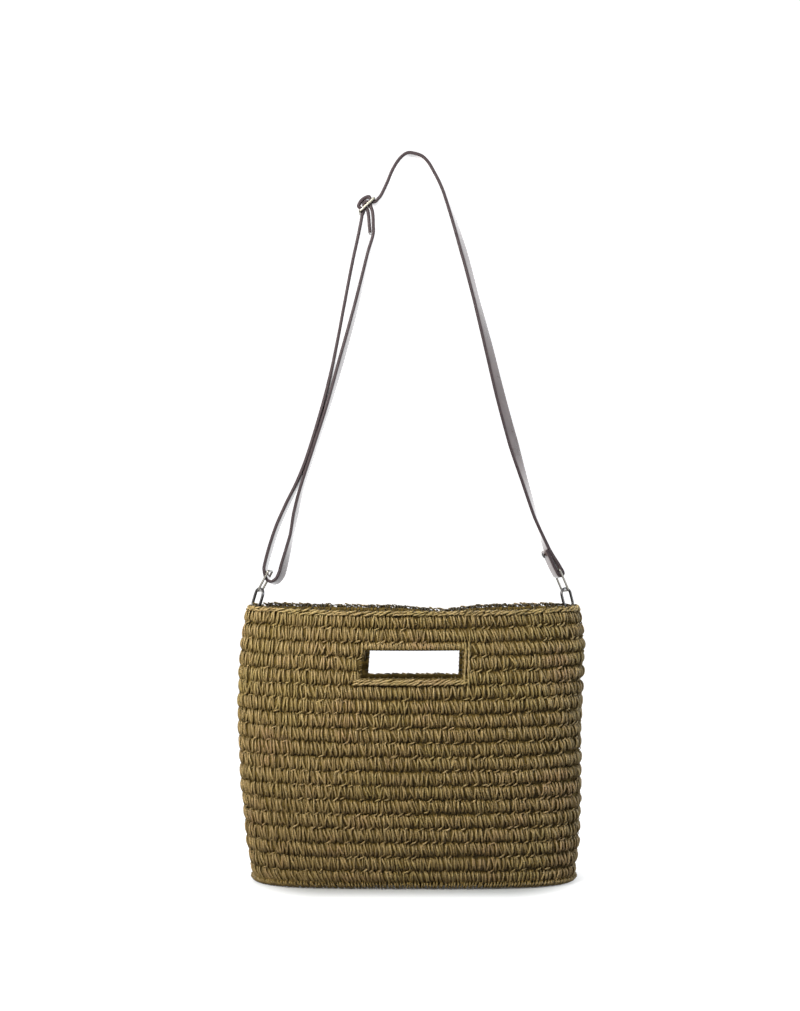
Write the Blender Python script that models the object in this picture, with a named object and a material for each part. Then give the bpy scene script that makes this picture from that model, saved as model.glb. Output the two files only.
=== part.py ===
# Crocheted straw bag with a leather shoulder strap hung on two pairs of metal links.
# Metres, +Z up, +X towards the bag's right-hand end, -Y towards its front.
# The origin is under the top of the strap, where the bag hangs from a hook or a shoulder.

import math

import bmesh
import bpy
from mathutils import Matrix, Vector

MM = 0.001

# The basket
BASKET_LENGTH = 340 * MM
BASKET_DEPTH = 102 * MM
BASKET_HEIGHT = 270 * MM
WALL = 5 * MM
BASE_THICKNESS = 5 * MM
RIB_DEPTH = 1.3 * MM
RIM_SAG = 4 * MM
RIM_ROUNDING = 1.4 * MM
ROUNDS = 20
CORNERS_AROUND = 48
INNER_LEVELS = 8

# Shares of the basket's height, length and depth, how square the section is, and how far it leans
SECTION_COLUMNS = ("height", "length", "depth", "squareness", "shift")
SECTIONS = (
    (0.00, 0.885, 0.84, 3.4, 0.007),
    (0.015, 0.920, 0.93, 3.3, 0.007),
    (0.05, 0.940, 0.98, 3.2, 0.006),
    (0.15, 0.962, 1.00, 3.0, 0.004),
    (0.35, 0.985, 0.99, 2.8, -0.001),
    (0.55, 0.995, 0.95, 2.6, -0.005),
    (0.75, 1.000, 0.87, 2.4, -0.001),
    (0.85, 1.000, 0.81, 2.3, 0.004),
    (0.93, 0.985, 0.76, 2.15, 0.005),
    (1.00, 0.965, 0.73, 2.05, 0.006),
)

# Dents at the rim: place as shares of the half sizes, then spread and inward pull as shares of the
# length, drop and fade as shares of the height
DENT_COLUMNS = ("at_x", "at_y", "spread", "inward", "drop", "fade")
DENTS = {
    "left_link_pull": (-0.96, 0.27, 0.045, 0.003, 0.0, 0.18),
    "right_link_pull": (0.95, 0.31, 0.045, 0.004, 0.0, 0.18),
    "back_rim_dip": (0.17, 1.0, 0.08, 0.0, 0.015, 0.10),
}

# The grip openings in the front and the back wall
GRIP_WIDTH = 97 * MM
GRIP_HEIGHT = 28 * MM
GRIP_BELOW_RIM = 43 * MM
GRIP_CORNER = 4 * MM
GRIP_COLUMNS = ("side", "width", "shift", "drop")
GRIPS = {
    "front_grip": (-1, 1.0, 0.005, 0.0),
    "back_grip": (1, 0.94, 0.03, 0.12),
}

# The links at each end
LINK_HOLE_BELOW_RIM = 6.5 * MM
FIT_GAP = 0.35 * MM
LINK_PLAY = 1.0 * MM
LOWER_LINK_LENGTH = 23 * MM
LOWER_LINK_WIDTH = 14 * MM
LOWER_LINK_BAND = 3.2 * MM
LOWER_LINK_THICKNESS = 1.5 * MM
UPPER_LINK_LENGTH = 24 * MM
UPPER_LINK_WIRE = 1.7 * MM
UPPER_LINK_CORNER = 2 * MM
UPPER_LINK_SIDE_GAP = 0.8 * MM
LINK_STEPS = 5
LINK_LEAST_SIDE = 0.1 * MM

# Degrees: the hole's place around the bag, each link's lean towards the bag's middle and its turn
# about its own length
LINK_COLUMNS = ("around", "lower_lean", "lower_turn", "upper_lean", "upper_turn")
LINKS = {
    "left": (164.5, 16.5, -50.0, 28.0, -8.5),
    "right": (18.0, 14.0, 40.0, 23.0, 15.0),
}

# The strap
STRAP_WIDTH = 15 * MM
STRAP_THICKNESS = 2.9 * MM
STRAP_EDGE = 0.4 * MM
STRAP_RISE = 441 * MM
STRAP_BEND = 11 * MM
STATIONS_PER_STEP = 2

# Each hanging stretch: shares along and beside the straight line between its ends, and the
# leather's turn about its own length in degrees
RIGHT_STRETCH = (
    (0.020, 0.0255, 5),
    (0.060, 0.0380, 8),
    (0.115, 0.0443, 10),
    (0.257, 0.0420, 25),
    (0.377, 0.0335, 23),
    (0.497, 0.0240, 33),
    (0.616, 0.0132, 38),
    (0.735, 0.0055, 40),
    (0.826, 0.0018, 25),
    (0.917, -0.0011, 14),
)
APEX_TO_SLIDER = (
    (0.083, -0.0933, 6),
    (0.250, -0.1300, 6),
    (0.480, -0.1120, 5),
    (0.734, -0.0506, 3),
)
LEFT_STRETCH = (
    (0.050, 0.0040, 0),
    (0.110, 0.0070, 2),
    (0.231, 0.0160, 7),
    (0.334, 0.0270, 2),
    (0.456, 0.0385, -9),
    (0.580, 0.0400, -8),
    (0.700, 0.0360, -6),
    (0.770, 0.0288, -8),
    (0.838, 0.0165, -9),
    (0.920, 0.0060, -9),
)
RETURN_STRETCH = (
    (0.070, 0.0035, 6),
    (0.135, 0.0085, 12),
    (0.205, 0.0110, 7),
    (0.331, 0.0053, 6),
    (0.473, -0.0017, 8),
    (0.613, -0.0040, 13),
    (0.762, -0.0045, 10),
    (0.870, -0.0020, 6),
    (0.950, 0.0005, 3),
)

# Turns of the strap: places as shares of the bend, rightward and up from the left link's bar, and
# the turn in degrees
LEFT_LOOP_FOOT = (-0.40, 1.23)
RETURN_LOOP_FOOT = (1.43, 1.23)
LOOP_MIDDLE = (0.40, 0.40)
LEFT_LOOP = (
    (1.19, 0.51, 14),
    (0.96, -0.30, 16),
    (0.61, -0.84, 14),
    (0.16, -1.01, 8),
    (-0.20, -0.79, 2),
    (-0.39, -0.34, 0),
    (-0.45, 0.42, 0),
)

# The arch over the slider: places as shares of the outer layer's seat and of the bend along the
# slider, and of the bend above it
ARCH = (
    (-1, 0.0, 0.0),
    (-1, -0.02, 0.22),
    (-1, -0.06, 0.42),
    (0, -0.34, 0.59),
    (0, 0.0, 0.64),
    (0, 0.34, 0.59),
    (1, 0.05, 0.42),
    (1, 0.02, 0.22),
    (1, 0.0, 0.0),
)
# Beside and above the slider's end bars, as shares of the bend
ENTRY_DROP = (-0.10, -0.62)
EXIT_BEND = ((0.25, -0.26), (0.62, -0.22))
END_BAR_WRAP = 0.72
END_BAR_CORNER = 1.3

# The sewn end and the stretch it is sewn to: rightward and up from the slider, as shares of the
# tab's length
SEWN_TAB = 28 * MM
TAB_PATH = ((0.098, -0.957), (0.096, -0.880), (0.076, -0.668), (0.057, -0.404), (0.014, -0.157))
RETURN_PATH = ((0.139, -0.054), (0.200, -0.264), (0.221, -0.661))
RETURN_TOP = (0.218, -1.021)
ROD_WRAP = (180, 130, 90, 50, 0)

# The eye that holds the right link: two layers, closed by the stud, and a fold below the link's bar
EYE_LENGTH = 19 * MM
EYE_TAB = 3.8 * MM
EYE_DROP = 4 * MM
EYE_LEAN = 28.6
# Shares of the eye's length above the bar, and of the way from closed layers to the bar's seat
EYE_SIDE = ((0.7, 0.2), (0.3, 0.8))
EYE_FOLD = (0, -45, -90, -135, -180)

# The slider
SLIDER_WIDTH = 20 * MM
SLIDER_THICKNESS = 2.2 * MM
SLIDER_END_BAR = 2.2 * MM
SLIDER_ROD = 2.8 * MM
SLIDER_CORNER = 2 * MM
SLIDER_ANGLE = 42.9
SLIDER_PLACE = Vector((-43.7, 0.0, -50.0)) * MM

# The stud
RIVET_SHANK = 2.6 * MM
RIVET_HEAD = 5.4 * MM
RIVET_HEAD_THICKNESS = 1.2 * MM
RIVET_NECK = 1.6 * MM
RIVET_BACK = 4.6 * MM
RIVET_BACK_THICKNESS = 0.8 * MM
RIVET_SIDES = 12
RIVET_BACK_DOME = 0.35
RIVET_HEAD_DOME = 0.36

STRAW = ((0.42, 0.32, 0.19), 0.65, 0.0)
LEATHER = ((0.10, 0.075, 0.07), 0.45, 0.0)
PALE_NICKEL = ((0.62, 0.61, 0.57), 0.3, 1.0)
DARK_NICKEL = ((0.16, 0.15, 0.15), 0.35, 1.0)
PALE_GOLD = ((0.78, 0.72, 0.58), 0.3, 1.0)

FLOOR = -(BASKET_HEIGHT + STRAP_RISE)
DEPTHWISE = Vector((0, 1, 0))


def clear_scene():
    for old in list(bpy.data.objects):
        bpy.data.objects.remove(old, do_unlink=True)


def finish_material(name, look):
    colour, roughness, metallic = look
    material = bpy.data.materials.new(name)
    material.use_nodes = True
    shader = material.node_tree.nodes["Principled BSDF"]
    shader.inputs["Base Color"].default_value = (*colour, 1.0)
    shader.inputs["Roughness"].default_value = roughness
    shader.inputs["Metallic"].default_value = metallic
    return material


def make_object(name, bm, look=None):
    bmesh.ops.recalc_face_normals(bm, faces=bm.faces)
    mesh = bpy.data.meshes.new(name)
    bm.to_mesh(mesh)
    bm.free()
    piece = bpy.data.objects.new(name, mesh)
    bpy.context.scene.collection.objects.link(piece)
    if look:
        mesh.materials.append(finish_material(name + "_finish", look))
        mesh.shade_smooth()
        mesh.set_sharp_from_angle(angle=math.radians(35))
    else:
        piece.hide_render = True
        piece.display_type = "WIRE"
    return piece


def boolean(piece, tool, operation="DIFFERENCE"):
    modifier = piece.modifiers.new(tool.name, "BOOLEAN")
    modifier.operation = operation
    modifier.solver = "EXACT"
    modifier.object = tool


def skin(bm, rings, closed=False):
    """Joins a row of equal rings of points into a tube, and caps it unless it closes on itself."""
    loops = [[bm.verts.new(point) for point in ring] for ring in rings]
    pairs = list(zip(loops, loops[1:]))
    if closed:
        pairs.append((loops[-1], loops[0]))
    for first, second in pairs:
        for i, corner in enumerate(first):
            bm.faces.new((first[i - 1], corner, second[i], second[i - 1]))
    if not closed:
        bm.faces.new(loops[0])
        bm.faces.new(loops[-1])


def circle(centre, first, second, radius, sides):
    turns = [2 * math.pi * i / sides for i in range(sides)]
    return [centre + first * radius * math.cos(t) + second * radius * math.sin(t) for t in turns]


def between_rows(columns, rows, name, at):
    """The value of one column of a table between two of its rows; the first column is the place."""
    column = columns.index(name)
    for low, high in zip(rows, rows[1:]):
        if at <= high[0]:
            share = (at - low[0]) / (high[0] - low[0])
            return low[column] + (high[column] - low[column]) * max(share, 0.0)
    return rows[-1][column]


def section_value(name, height):
    return between_rows(SECTION_COLUMNS, SECTIONS, name, height)


def outer_wall(turn, height):
    """A point on the outside of the wall at an angle around the bag and a share of its height,
    before the ribs, with the direction that points out of the wall there."""
    half_length = BASKET_LENGTH / 2 * section_value("length", height)
    half_depth = BASKET_DEPTH / 2 * section_value("depth", height)
    power = 2 / section_value("squareness", height)
    across, along = math.sin(turn), math.cos(turn)
    x = half_length * math.copysign(abs(along) ** power, along)
    y = half_depth * math.copysign(abs(across) ** power, across)
    squareness = section_value("squareness", height)
    outward = Vector((
        math.copysign(abs(x / half_length) ** (squareness - 1), x) / half_length,
        math.copysign(abs(y / half_depth) ** (squareness - 1), y) / half_depth,
        0.0)).normalized()
    sag = RIM_SAG * (1 - (x / half_length) ** 2) * height
    place = Vector((x + BASKET_LENGTH * section_value("shift", height), y, BASKET_HEIGHT * height - sag))
    for at_x, at_y, spread, inward, drop, fade in DENTS.values():
        away = math.hypot(x - at_x * half_length, y - at_y * half_depth) / (spread * BASKET_LENGTH)
        weight = math.exp(-away ** 2) * math.exp(-((1 - height) / fade) ** 2)
        place -= outward * inward * BASKET_LENGTH * weight
        place.z -= drop * BASKET_HEIGHT * weight
    return place + Vector((0, 0, FLOOR)), outward


def wall_ring(height, inset, lower=0.0):
    """One ring of corners around the wall, set in from its outside and lowered if asked."""
    ring = []
    for corner in range(CORNERS_AROUND):
        place, outward = outer_wall(2 * math.pi * corner / CORNERS_AROUND, height)
        ring.append(place - outward * inset - Vector((0, 0, lower)))
    return ring


def make_basket(link_holes):
    """The crocheted body: ribbed outside, plain inside, open at the top."""
    rings = [wall_ring(0.0, RIB_DEPTH)]
    for half_round in range(1, 2 * ROUNDS):
        rings.append(wall_ring(half_round / (2 * ROUNDS), 0.0 if half_round % 2 else RIB_DEPTH))
    rings.append(wall_ring(1.0, 0.0, RIM_ROUNDING))
    rings.append(wall_ring(1.0, RIM_ROUNDING))
    rings.append(wall_ring(1.0, WALL - RIM_ROUNDING))
    rings.append(wall_ring(1.0, WALL, RIM_ROUNDING))
    floor_share = BASE_THICKNESS / BASKET_HEIGHT
    for level in range(INNER_LEVELS - 1, -1, -1):
        height = floor_share + (1 - floor_share) * level / INNER_LEVELS
        rings.append(wall_ring(height, WALL))
    for point in rings[-1]:
        point.z = FLOOR + BASE_THICKNESS
    bm = bmesh.new()
    skin(bm, rings)
    basket = make_object("basket", bm, STRAW)
    for name, (side, width, shift, drop) in GRIPS.items():
        boolean(basket, make_grip_cutter(name, side, width, shift, drop))
    for cutter in link_holes:
        boolean(basket, cutter)
    return basket


def grip_box(side, width, shift, drop):
    """Centre and half sizes of a grip opening, deep enough to cut one wall and not the other."""
    top = FLOOR + BASKET_HEIGHT - GRIP_BELOW_RIM - GRIP_HEIGHT * drop
    centre = Vector((GRIP_WIDTH * shift, side * BASKET_DEPTH / 2, top - GRIP_HEIGHT / 2))
    half = Vector((GRIP_WIDTH * width / 2, BASKET_DEPTH / 4, GRIP_HEIGHT / 2))
    return centre, half


def make_grip_cutter(name, side, width, shift, drop):
    centre, half = grip_box(side, width, shift, drop)
    bm = bmesh.new()
    placing = Matrix.Translation(centre) @ Matrix.Diagonal((*(half * 2), 1.0))
    bmesh.ops.create_cube(bm, size=1.0, matrix=placing)
    upright = [edge for edge in bm.edges if abs((edge.verts[0].co - edge.verts[1].co).y) > half.y]
    bmesh.ops.bevel(bm, geom=upright, offset=GRIP_CORNER, segments=3, profile=0.5, affect="EDGES",
                    material=-1)
    return make_object(name + "_cutter", bm)


def leaning(end, degrees_inboard):
    """The upward direction of something at one end that leans towards the bag's middle."""
    lean = math.radians(degrees_inboard)
    inboard = 1 if end == "left" else -1
    return Vector((inboard * math.sin(lean), 0.0, math.cos(lean)))


def link_frame(up, turn):
    """The crosswise and facing directions of a link whose length runs along up."""
    across = Vector((up.z, 0.0, -up.x))
    turning = Matrix.Rotation(math.radians(turn), 3, up)
    return turning @ across, turning @ DEPTHWISE


def link_places(end):
    """Where the links at one end of the bag hang: each is held by the piece below it."""
    around, lower_lean, lower_turn, upper_lean, upper_turn = LINKS[end]
    hole_height = 1 - LINK_HOLE_BELOW_RIM / BASKET_HEIGHT
    surface, outward = outer_wall(math.radians(around), hole_height)
    hole = surface - outward * (WALL / 2)
    lower_up = leaning(end, lower_lean)
    lower_top = hole + lower_up * (LOWER_LINK_LENGTH - LOWER_LINK_THICKNESS)
    upper_up = leaning(end, upper_lean)
    links_apart = (LOWER_LINK_THICKNESS + UPPER_LINK_WIRE) / 2 + LINK_PLAY
    upper_bottom = lower_top - (lower_up + upper_up).normalized() * links_apart
    upper_top = upper_bottom + upper_up * (UPPER_LINK_LENGTH - UPPER_LINK_WIRE)
    return {
        "hole": hole, "lower_up": lower_up, "lower_turn": lower_turn, "upper_up": upper_up,
        "upper_turn": upper_turn, "upper_bottom": upper_bottom, "upper_top": upper_top,
    }


def rounded_path(half_across, half_up, corner):
    """Corner arcs of a rounded rectangle as places and outward directions, in two dimensions.
    Where two corners fill a whole side, the point that they share is kept once."""
    path = []
    for quarter in range(4):
        shares_end = (half_across if quarter % 2 == 0 else half_up) - corner < LINK_LEAST_SIDE
        for step in range(LINK_STEPS + (0 if shares_end else 1)):
            turn = math.pi / 2 * (quarter + step / LINK_STEPS)
            out = (math.cos(turn), math.sin(turn))
            middle = (math.copysign(half_across - corner, math.cos(math.pi / 2 * (quarter + 0.5))),
                      math.copysign(half_up - corner, math.sin(math.pi / 2 * (quarter + 0.5))))
            path.append((middle[0] + corner * out[0], middle[1] + corner * out[1], out))
    return path


def make_link(name, look, centre, up, turn, half_across, half_up, corner, profile):
    """A closed link: its wire's profile, given as outward and facing offsets, follows the path."""
    across, facing = link_frame(up, turn)
    rings = []
    for x, z, out in rounded_path(half_across, half_up, corner):
        place = centre + across * x + up * z
        outward = across * out[0] + up * out[1]
        ring = [place + outward * p + facing * q for p, q in profile]
        rings.append(ring)
    bm = bmesh.new()
    skin(bm, rings, closed=True)
    return make_object(name, bm, look)


def make_lower_link(name, look, places, grow=0.0):
    """A flat-wire oval through the rim; grown a little, the same shape cuts its hole."""
    thick, band = LOWER_LINK_THICKNESS / 2 + grow, LOWER_LINK_BAND / 2 + grow
    slope = thick / 2
    flat_wire = ((thick, band - slope), (thick - slope, band), (slope - thick, band),
                 (-thick, band - slope), (-thick, slope - band), (slope - thick, -band),
                 (thick - slope, -band), (thick, slope - band))
    half_up = (LOWER_LINK_LENGTH - LOWER_LINK_THICKNESS) / 2
    half_across = (LOWER_LINK_WIDTH - LOWER_LINK_THICKNESS) / 2
    centre = places["hole"] + places["lower_up"] * half_up
    return make_link(name, look, centre, places["lower_up"], places["lower_turn"], half_across, half_up,
                     half_across, flat_wire)


def make_upper_link(name, look, places):
    wire = UPPER_LINK_WIRE / 2
    round_wire = [(wire * math.cos(math.pi * i / 3), wire * math.sin(math.pi * i / 3)) for i in range(6)]
    half_up = (UPPER_LINK_LENGTH - UPPER_LINK_WIRE) / 2
    centre = (places["upper_bottom"] + places["upper_top"]) / 2
    make_link(name, look, centre, places["upper_up"], places["upper_turn"] + 90, upper_half_across(),
              half_up, UPPER_LINK_CORNER, round_wire)


def upper_half_across():
    """Half the width of an upper link at the middle of its wire: the strap fits inside it."""
    return STRAP_WIDTH / 2 + UPPER_LINK_SIDE_GAP + UPPER_LINK_WIRE / 2


def beside_and_up(start, shares, unit):
    """A place given by shares of a length, rightward and up from a start."""
    return start + Vector((shares[0], 0.0, shares[1])) * unit


def turned_across(across, outward, degrees):
    """The direction of the strap's width, turned so that its far edge leans outward."""
    return across * math.cos(math.radians(degrees)) + outward * math.sin(math.radians(degrees))


def stretch(start, end, rows, backwards=False):
    """Stations of a hanging stretch: places and width directions from shares of its chord."""
    chord = end - start
    beside = Vector((-chord.z, 0.0, chord.x))
    spots = [(start + chord * along + beside * bow, turn) for along, bow, turn in rows]
    if backwards:
        spots.reverse()
        chord = -chord
    travel = chord.normalized()
    left = Vector((-travel.z, 0.0, travel.x))
    return [(place, turned_across(DEPTHWISE, left, turn)) for place, turn in spots]


def slider_point(along, above):
    lean = math.radians(SLIDER_ANGLE)
    along_slider = Vector((math.cos(lean), 0.0, math.sin(lean)))
    above_slider = Vector((-math.sin(lean), 0.0, math.cos(lean)))
    return SLIDER_PLACE + along_slider * along + above_slider * above


def slider_sizes():
    """How far from the slider's middle its inner and outer layers of strap and its end bars are."""
    inner = SLIDER_ROD / 2 + FIT_GAP + STRAP_THICKNESS / 2
    outer = inner + STRAP_THICKNESS + FIT_GAP
    end_bar = outer + STRAP_THICKNESS / 2 + FIT_GAP + SLIDER_END_BAR / 2
    return inner, outer, end_bar


def sewn_end_route():
    """From the sewn end up round the slider's rod and down to the top of the return stretch."""
    inner = slider_sizes()[0]
    places = [beside_and_up(SLIDER_PLACE, shares, SEWN_TAB) for shares in TAB_PATH]
    for degrees in ROD_WRAP:
        turn = math.radians(degrees)
        places.append(slider_point(inner * math.cos(turn), inner * math.sin(turn)))
    places += [beside_and_up(SLIDER_PLACE, shares, SEWN_TAB) for shares in RETURN_PATH]
    return [(place, DEPTHWISE) for place in places]


def left_loop_route(link):
    """Through the left link, under its top bar."""
    bar = link["upper_top"]
    bar_direction = link_frame(link["upper_up"], link["upper_turn"])[1]
    middle = beside_and_up(bar, LOOP_MIDDLE, STRAP_BEND)
    route = []
    for rightward, up, turn in LEFT_LOOP:
        place = beside_and_up(bar, (rightward, up), STRAP_BEND)
        route.append((place, turned_across(bar_direction, (place - middle).normalized(), turn)))
    return route


def slider_route(bar_seat):
    """Up through the slider, in an arch over the sewn end, and out under the far bar."""
    outer, end_bar = slider_sizes()[1:]
    near_bar = end_bar - END_BAR_WRAP * bar_seat
    places = [slider_point(-end_bar, -bar_seat), slider_point(-near_bar, -END_BAR_WRAP * bar_seat)]
    for seats, beside, above in ARCH:
        places.append(slider_point(seats * outer + beside * STRAP_BEND, above * STRAP_BEND))
    places += [slider_point(near_bar, -END_BAR_WRAP * bar_seat), slider_point(end_bar, -bar_seat)]
    for beside, above in EXIT_BEND:
        places.append(slider_point(end_bar + beside * STRAP_BEND, above * STRAP_BEND))
    return [(place, DEPTHWISE) for place in places]


def eye_route(link):
    """The eye round the right link's top bar, with the stud's centre, axis and upward direction."""
    bar = link["upper_top"]
    up = leaning("right", EYE_LEAN)
    across, facing = link_frame(up, link["upper_turn"])
    closed = (STRAP_THICKNESS + FIT_GAP) / 2
    seat = (UPPER_LINK_WIRE + STRAP_THICKNESS) / 2 + FIT_GAP
    side = [(closed, EYE_LENGTH + EYE_TAB), (closed, EYE_LENGTH)]
    side += [(closed + (seat - closed) * open_share, EYE_LENGTH * share) for share, open_share in EYE_SIDE]
    fold = [(seat * math.cos(math.radians(turn)), seat * math.sin(math.radians(turn)) - EYE_DROP)
            for turn in EYE_FOLD]
    path = side + [(seat, 0.0)] + fold + [(-seat, 0.0)]
    path += [(-beside, height) for beside, height in reversed(side)]
    route = [(bar + across * beside + up * height, facing) for beside, height in path]
    return route, (bar + up * EYE_LENGTH, -across, up)


def strap_route(left, right):
    """Stations along the strap, from its sewn end to the end under the stud."""
    bar_seat = SLIDER_END_BAR / 2 * END_BAR_CORNER + FIT_GAP + STRAP_THICKNESS / 2
    return_top = beside_and_up(SLIDER_PLACE, RETURN_TOP, SEWN_TAB)
    return_foot = beside_and_up(left["upper_top"], RETURN_LOOP_FOOT, STRAP_BEND)
    left_foot = beside_and_up(left["upper_top"], LEFT_LOOP_FOOT, STRAP_BEND)
    left_top = beside_and_up(slider_point(-slider_sizes()[2], -bar_seat), ENTRY_DROP, STRAP_BEND)
    apex = Vector((0.0, 0.0, STRAP_THICKNESS / 2))
    over_slider = slider_route(bar_seat)
    eye, rivet = eye_route(right)

    route = sewn_end_route()
    route.append((return_top, DEPTHWISE))
    route += stretch(return_foot, return_top, RETURN_STRETCH, backwards=True)
    route += left_loop_route(left)
    route += stretch(left_top, left_foot, LEFT_STRETCH, backwards=True)
    route.append((left_top, DEPTHWISE))
    route += over_slider
    route += stretch(apex, over_slider[-1][0], APEX_TO_SLIDER, backwards=True)
    route.append((apex, DEPTHWISE))
    route += stretch(apex, eye[0][0], RIGHT_STRETCH)
    route += eye
    return route, rivet


def smooth(route):
    """More stations on a smooth curve through the route's own."""
    stations = []
    for i in range(len(route) - 1):
        before, start = route[max(i - 1, 0)][0], route[i]
        end, after = route[i + 1], route[min(i + 2, len(route) - 1)][0]
        reach = (end[0] - start[0]).length
        leave = (end[0] - before).normalized() * reach
        arrive = (after - start[0]).normalized() * reach
        steps = STATIONS_PER_STEP
        for step in range(steps):
            t = step / steps
            place = ((2 * t ** 3 - 3 * t ** 2 + 1) * start[0] + (t ** 3 - 2 * t ** 2 + t) * leave
                     + (3 * t ** 2 - 2 * t ** 3) * end[0] + (t ** 3 - t ** 2) * arrive)
            stations.append((place, start[1].lerp(end[1], t)))
    stations.append(route[-1])
    return stations


def cut_rivet_hole(strap, rivet):
    centre, axis, up = rivet
    reach = axis * 3 * STRAP_THICKNESS
    radius = RIVET_SHANK / 2 + FIT_GAP
    bm = bmesh.new()
    ends = (centre - reach, centre + reach)
    skin(bm, [circle(end, up, axis.cross(up), radius, RIVET_SIDES) for end in ends])
    boolean(strap, make_object("rivet_hole_cutter", bm))


def make_strap(stations, rivet):
    half_width, half = STRAP_WIDTH / 2, STRAP_THICKNESS / 2
    profile = ((half_width, half - STRAP_EDGE), (half_width - STRAP_EDGE, half),
               (STRAP_EDGE - half_width, half), (-half_width, half - STRAP_EDGE),
               (-half_width, STRAP_EDGE - half), (STRAP_EDGE - half_width, -half),
               (half_width - STRAP_EDGE, -half), (half_width, STRAP_EDGE - half))
    rings = []
    for i, (place, across) in enumerate(stations):
        ahead = stations[min(i + 1, len(stations) - 1)][0]
        behind = stations[max(i - 1, 0)][0]
        travel = (ahead - behind).normalized()
        across = (across - travel * across.dot(travel)).normalized()
        face = travel.cross(across)
        rings.append([place + across * p + face * q for p, q in profile])
    bm = bmesh.new()
    skin(bm, rings)
    strap = make_object("strap", bm, LEATHER)
    cut_rivet_hole(strap, rivet)


def make_rivet(rivet):
    centre, axis, up = rivet
    side = axis.cross(up)
    outer = STRAP_THICKNESS + FIT_GAP / 2
    back = -outer - FIT_GAP
    head = outer + RIVET_NECK
    profile = (
        (back - RIVET_BACK_THICKNESS, RIVET_BACK * RIVET_BACK_DOME),
        (back - RIVET_BACK_THICKNESS / 2, RIVET_BACK / 2),
        (back, RIVET_BACK / 2),
        (back, RIVET_SHANK / 2),
        (head, RIVET_SHANK / 2),
        (head, RIVET_HEAD / 2),
        (head + RIVET_HEAD_THICKNESS / 2, RIVET_HEAD / 2),
        (head + RIVET_HEAD_THICKNESS, RIVET_HEAD * RIVET_HEAD_DOME),
    )
    bm = bmesh.new()
    skin(bm, [circle(centre + axis * along, up, side, radius, RIVET_SIDES) for along, radius in profile])
    make_object("strap_rivet", bm, DARK_NICKEL)


def make_slider():
    """A frame with one window, a rod across its middle and rounded edges."""
    length = 2 * slider_sizes()[2] + SLIDER_END_BAR
    turned = Matrix.Translation(SLIDER_PLACE) @ Matrix.Rotation(-math.radians(SLIDER_ANGLE), 4, "Y")
    window_width = STRAP_WIDTH + 4 * FIT_GAP

    def plate(sizes, corner):
        bm = bmesh.new()
        bmesh.ops.create_cube(bm, size=1.0, matrix=Matrix.Diagonal((*sizes, 1.0)))
        upright = [edge for edge in bm.edges if abs((edge.verts[0].co - edge.verts[1].co).z) > sizes[2] / 2]
        bmesh.ops.bevel(bm, geom=upright, offset=corner, segments=3, profile=0.5, affect="EDGES",
                        material=-1)
        bmesh.ops.transform(bm, matrix=turned, verts=bm.verts)
        return bm

    body = (length, SLIDER_WIDTH, SLIDER_THICKNESS)
    slider = make_object("slider", plate(body, SLIDER_CORNER), PALE_GOLD)
    window = (length - 2 * SLIDER_END_BAR, window_width, 3 * SLIDER_THICKNESS)
    boolean(slider, make_object("slider_window_cutter", plate(window, SLIDER_CORNER / 3)))
    bm = bmesh.new()
    reach = DEPTHWISE * (window_width / 2 + (SLIDER_WIDTH - window_width) / 4)
    ends = [SLIDER_PLACE - reach, SLIDER_PLACE + reach]
    along = slider_point(1.0, 0.0) - SLIDER_PLACE
    above = slider_point(0.0, 1.0) - SLIDER_PLACE
    skin(bm, [circle(end, along, above, SLIDER_ROD / 2, 12) for end in ends])
    boolean(slider, make_object("slider_rod_tool", bm), "UNION")


clear_scene()
link_sets = {end: link_places(end) for end in LINKS}
make_basket([make_lower_link("hole_" + name + "_cutter", None, places, FIT_GAP)
             for name, places in link_sets.items()])
for name, places in link_sets.items():
    make_lower_link("ring_" + name + "_lower", DARK_NICKEL, places)
    make_upper_link("ring_" + name + "_upper", PALE_NICKEL, places)
strap_stations, rivet_frame = strap_route(link_sets["left"], link_sets["right"])
make_strap(smooth(strap_stations), rivet_frame)
make_rivet(rivet_frame)
make_slider()
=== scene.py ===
import math

import bmesh
import bpy
import numpy as np
from mathutils import Matrix, Vector


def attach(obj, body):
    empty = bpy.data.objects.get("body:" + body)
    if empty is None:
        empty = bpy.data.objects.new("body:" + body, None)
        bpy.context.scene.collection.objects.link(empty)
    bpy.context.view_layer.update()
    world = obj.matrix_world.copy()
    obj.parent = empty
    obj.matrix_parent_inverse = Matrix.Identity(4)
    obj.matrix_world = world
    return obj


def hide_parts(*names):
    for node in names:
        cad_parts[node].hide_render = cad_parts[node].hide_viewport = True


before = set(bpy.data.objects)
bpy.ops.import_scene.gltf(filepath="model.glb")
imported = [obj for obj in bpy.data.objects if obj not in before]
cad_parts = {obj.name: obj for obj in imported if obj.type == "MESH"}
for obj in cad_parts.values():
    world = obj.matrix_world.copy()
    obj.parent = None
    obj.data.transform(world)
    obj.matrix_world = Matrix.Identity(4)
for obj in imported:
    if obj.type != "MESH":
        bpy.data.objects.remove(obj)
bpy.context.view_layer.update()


# The lining of stitches: the back of the crochet that shows between the strands, coloured dark brown
# as painted shade. The real one is the same paper straw, pulled tight; here it is one shell, open at
# the top and cut out for the two hand grips.
MM = 0.001
FLOOR = -711 * MM
BASKET_LENGTH = 340 * MM
BASKET_DEPTH = 102 * MM
BASKET_HEIGHT = 270 * MM
RIM_SAG = 4 * MM
SECTION_COLUMNS = ("height", "length", "depth", "squareness", "shift")
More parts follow.
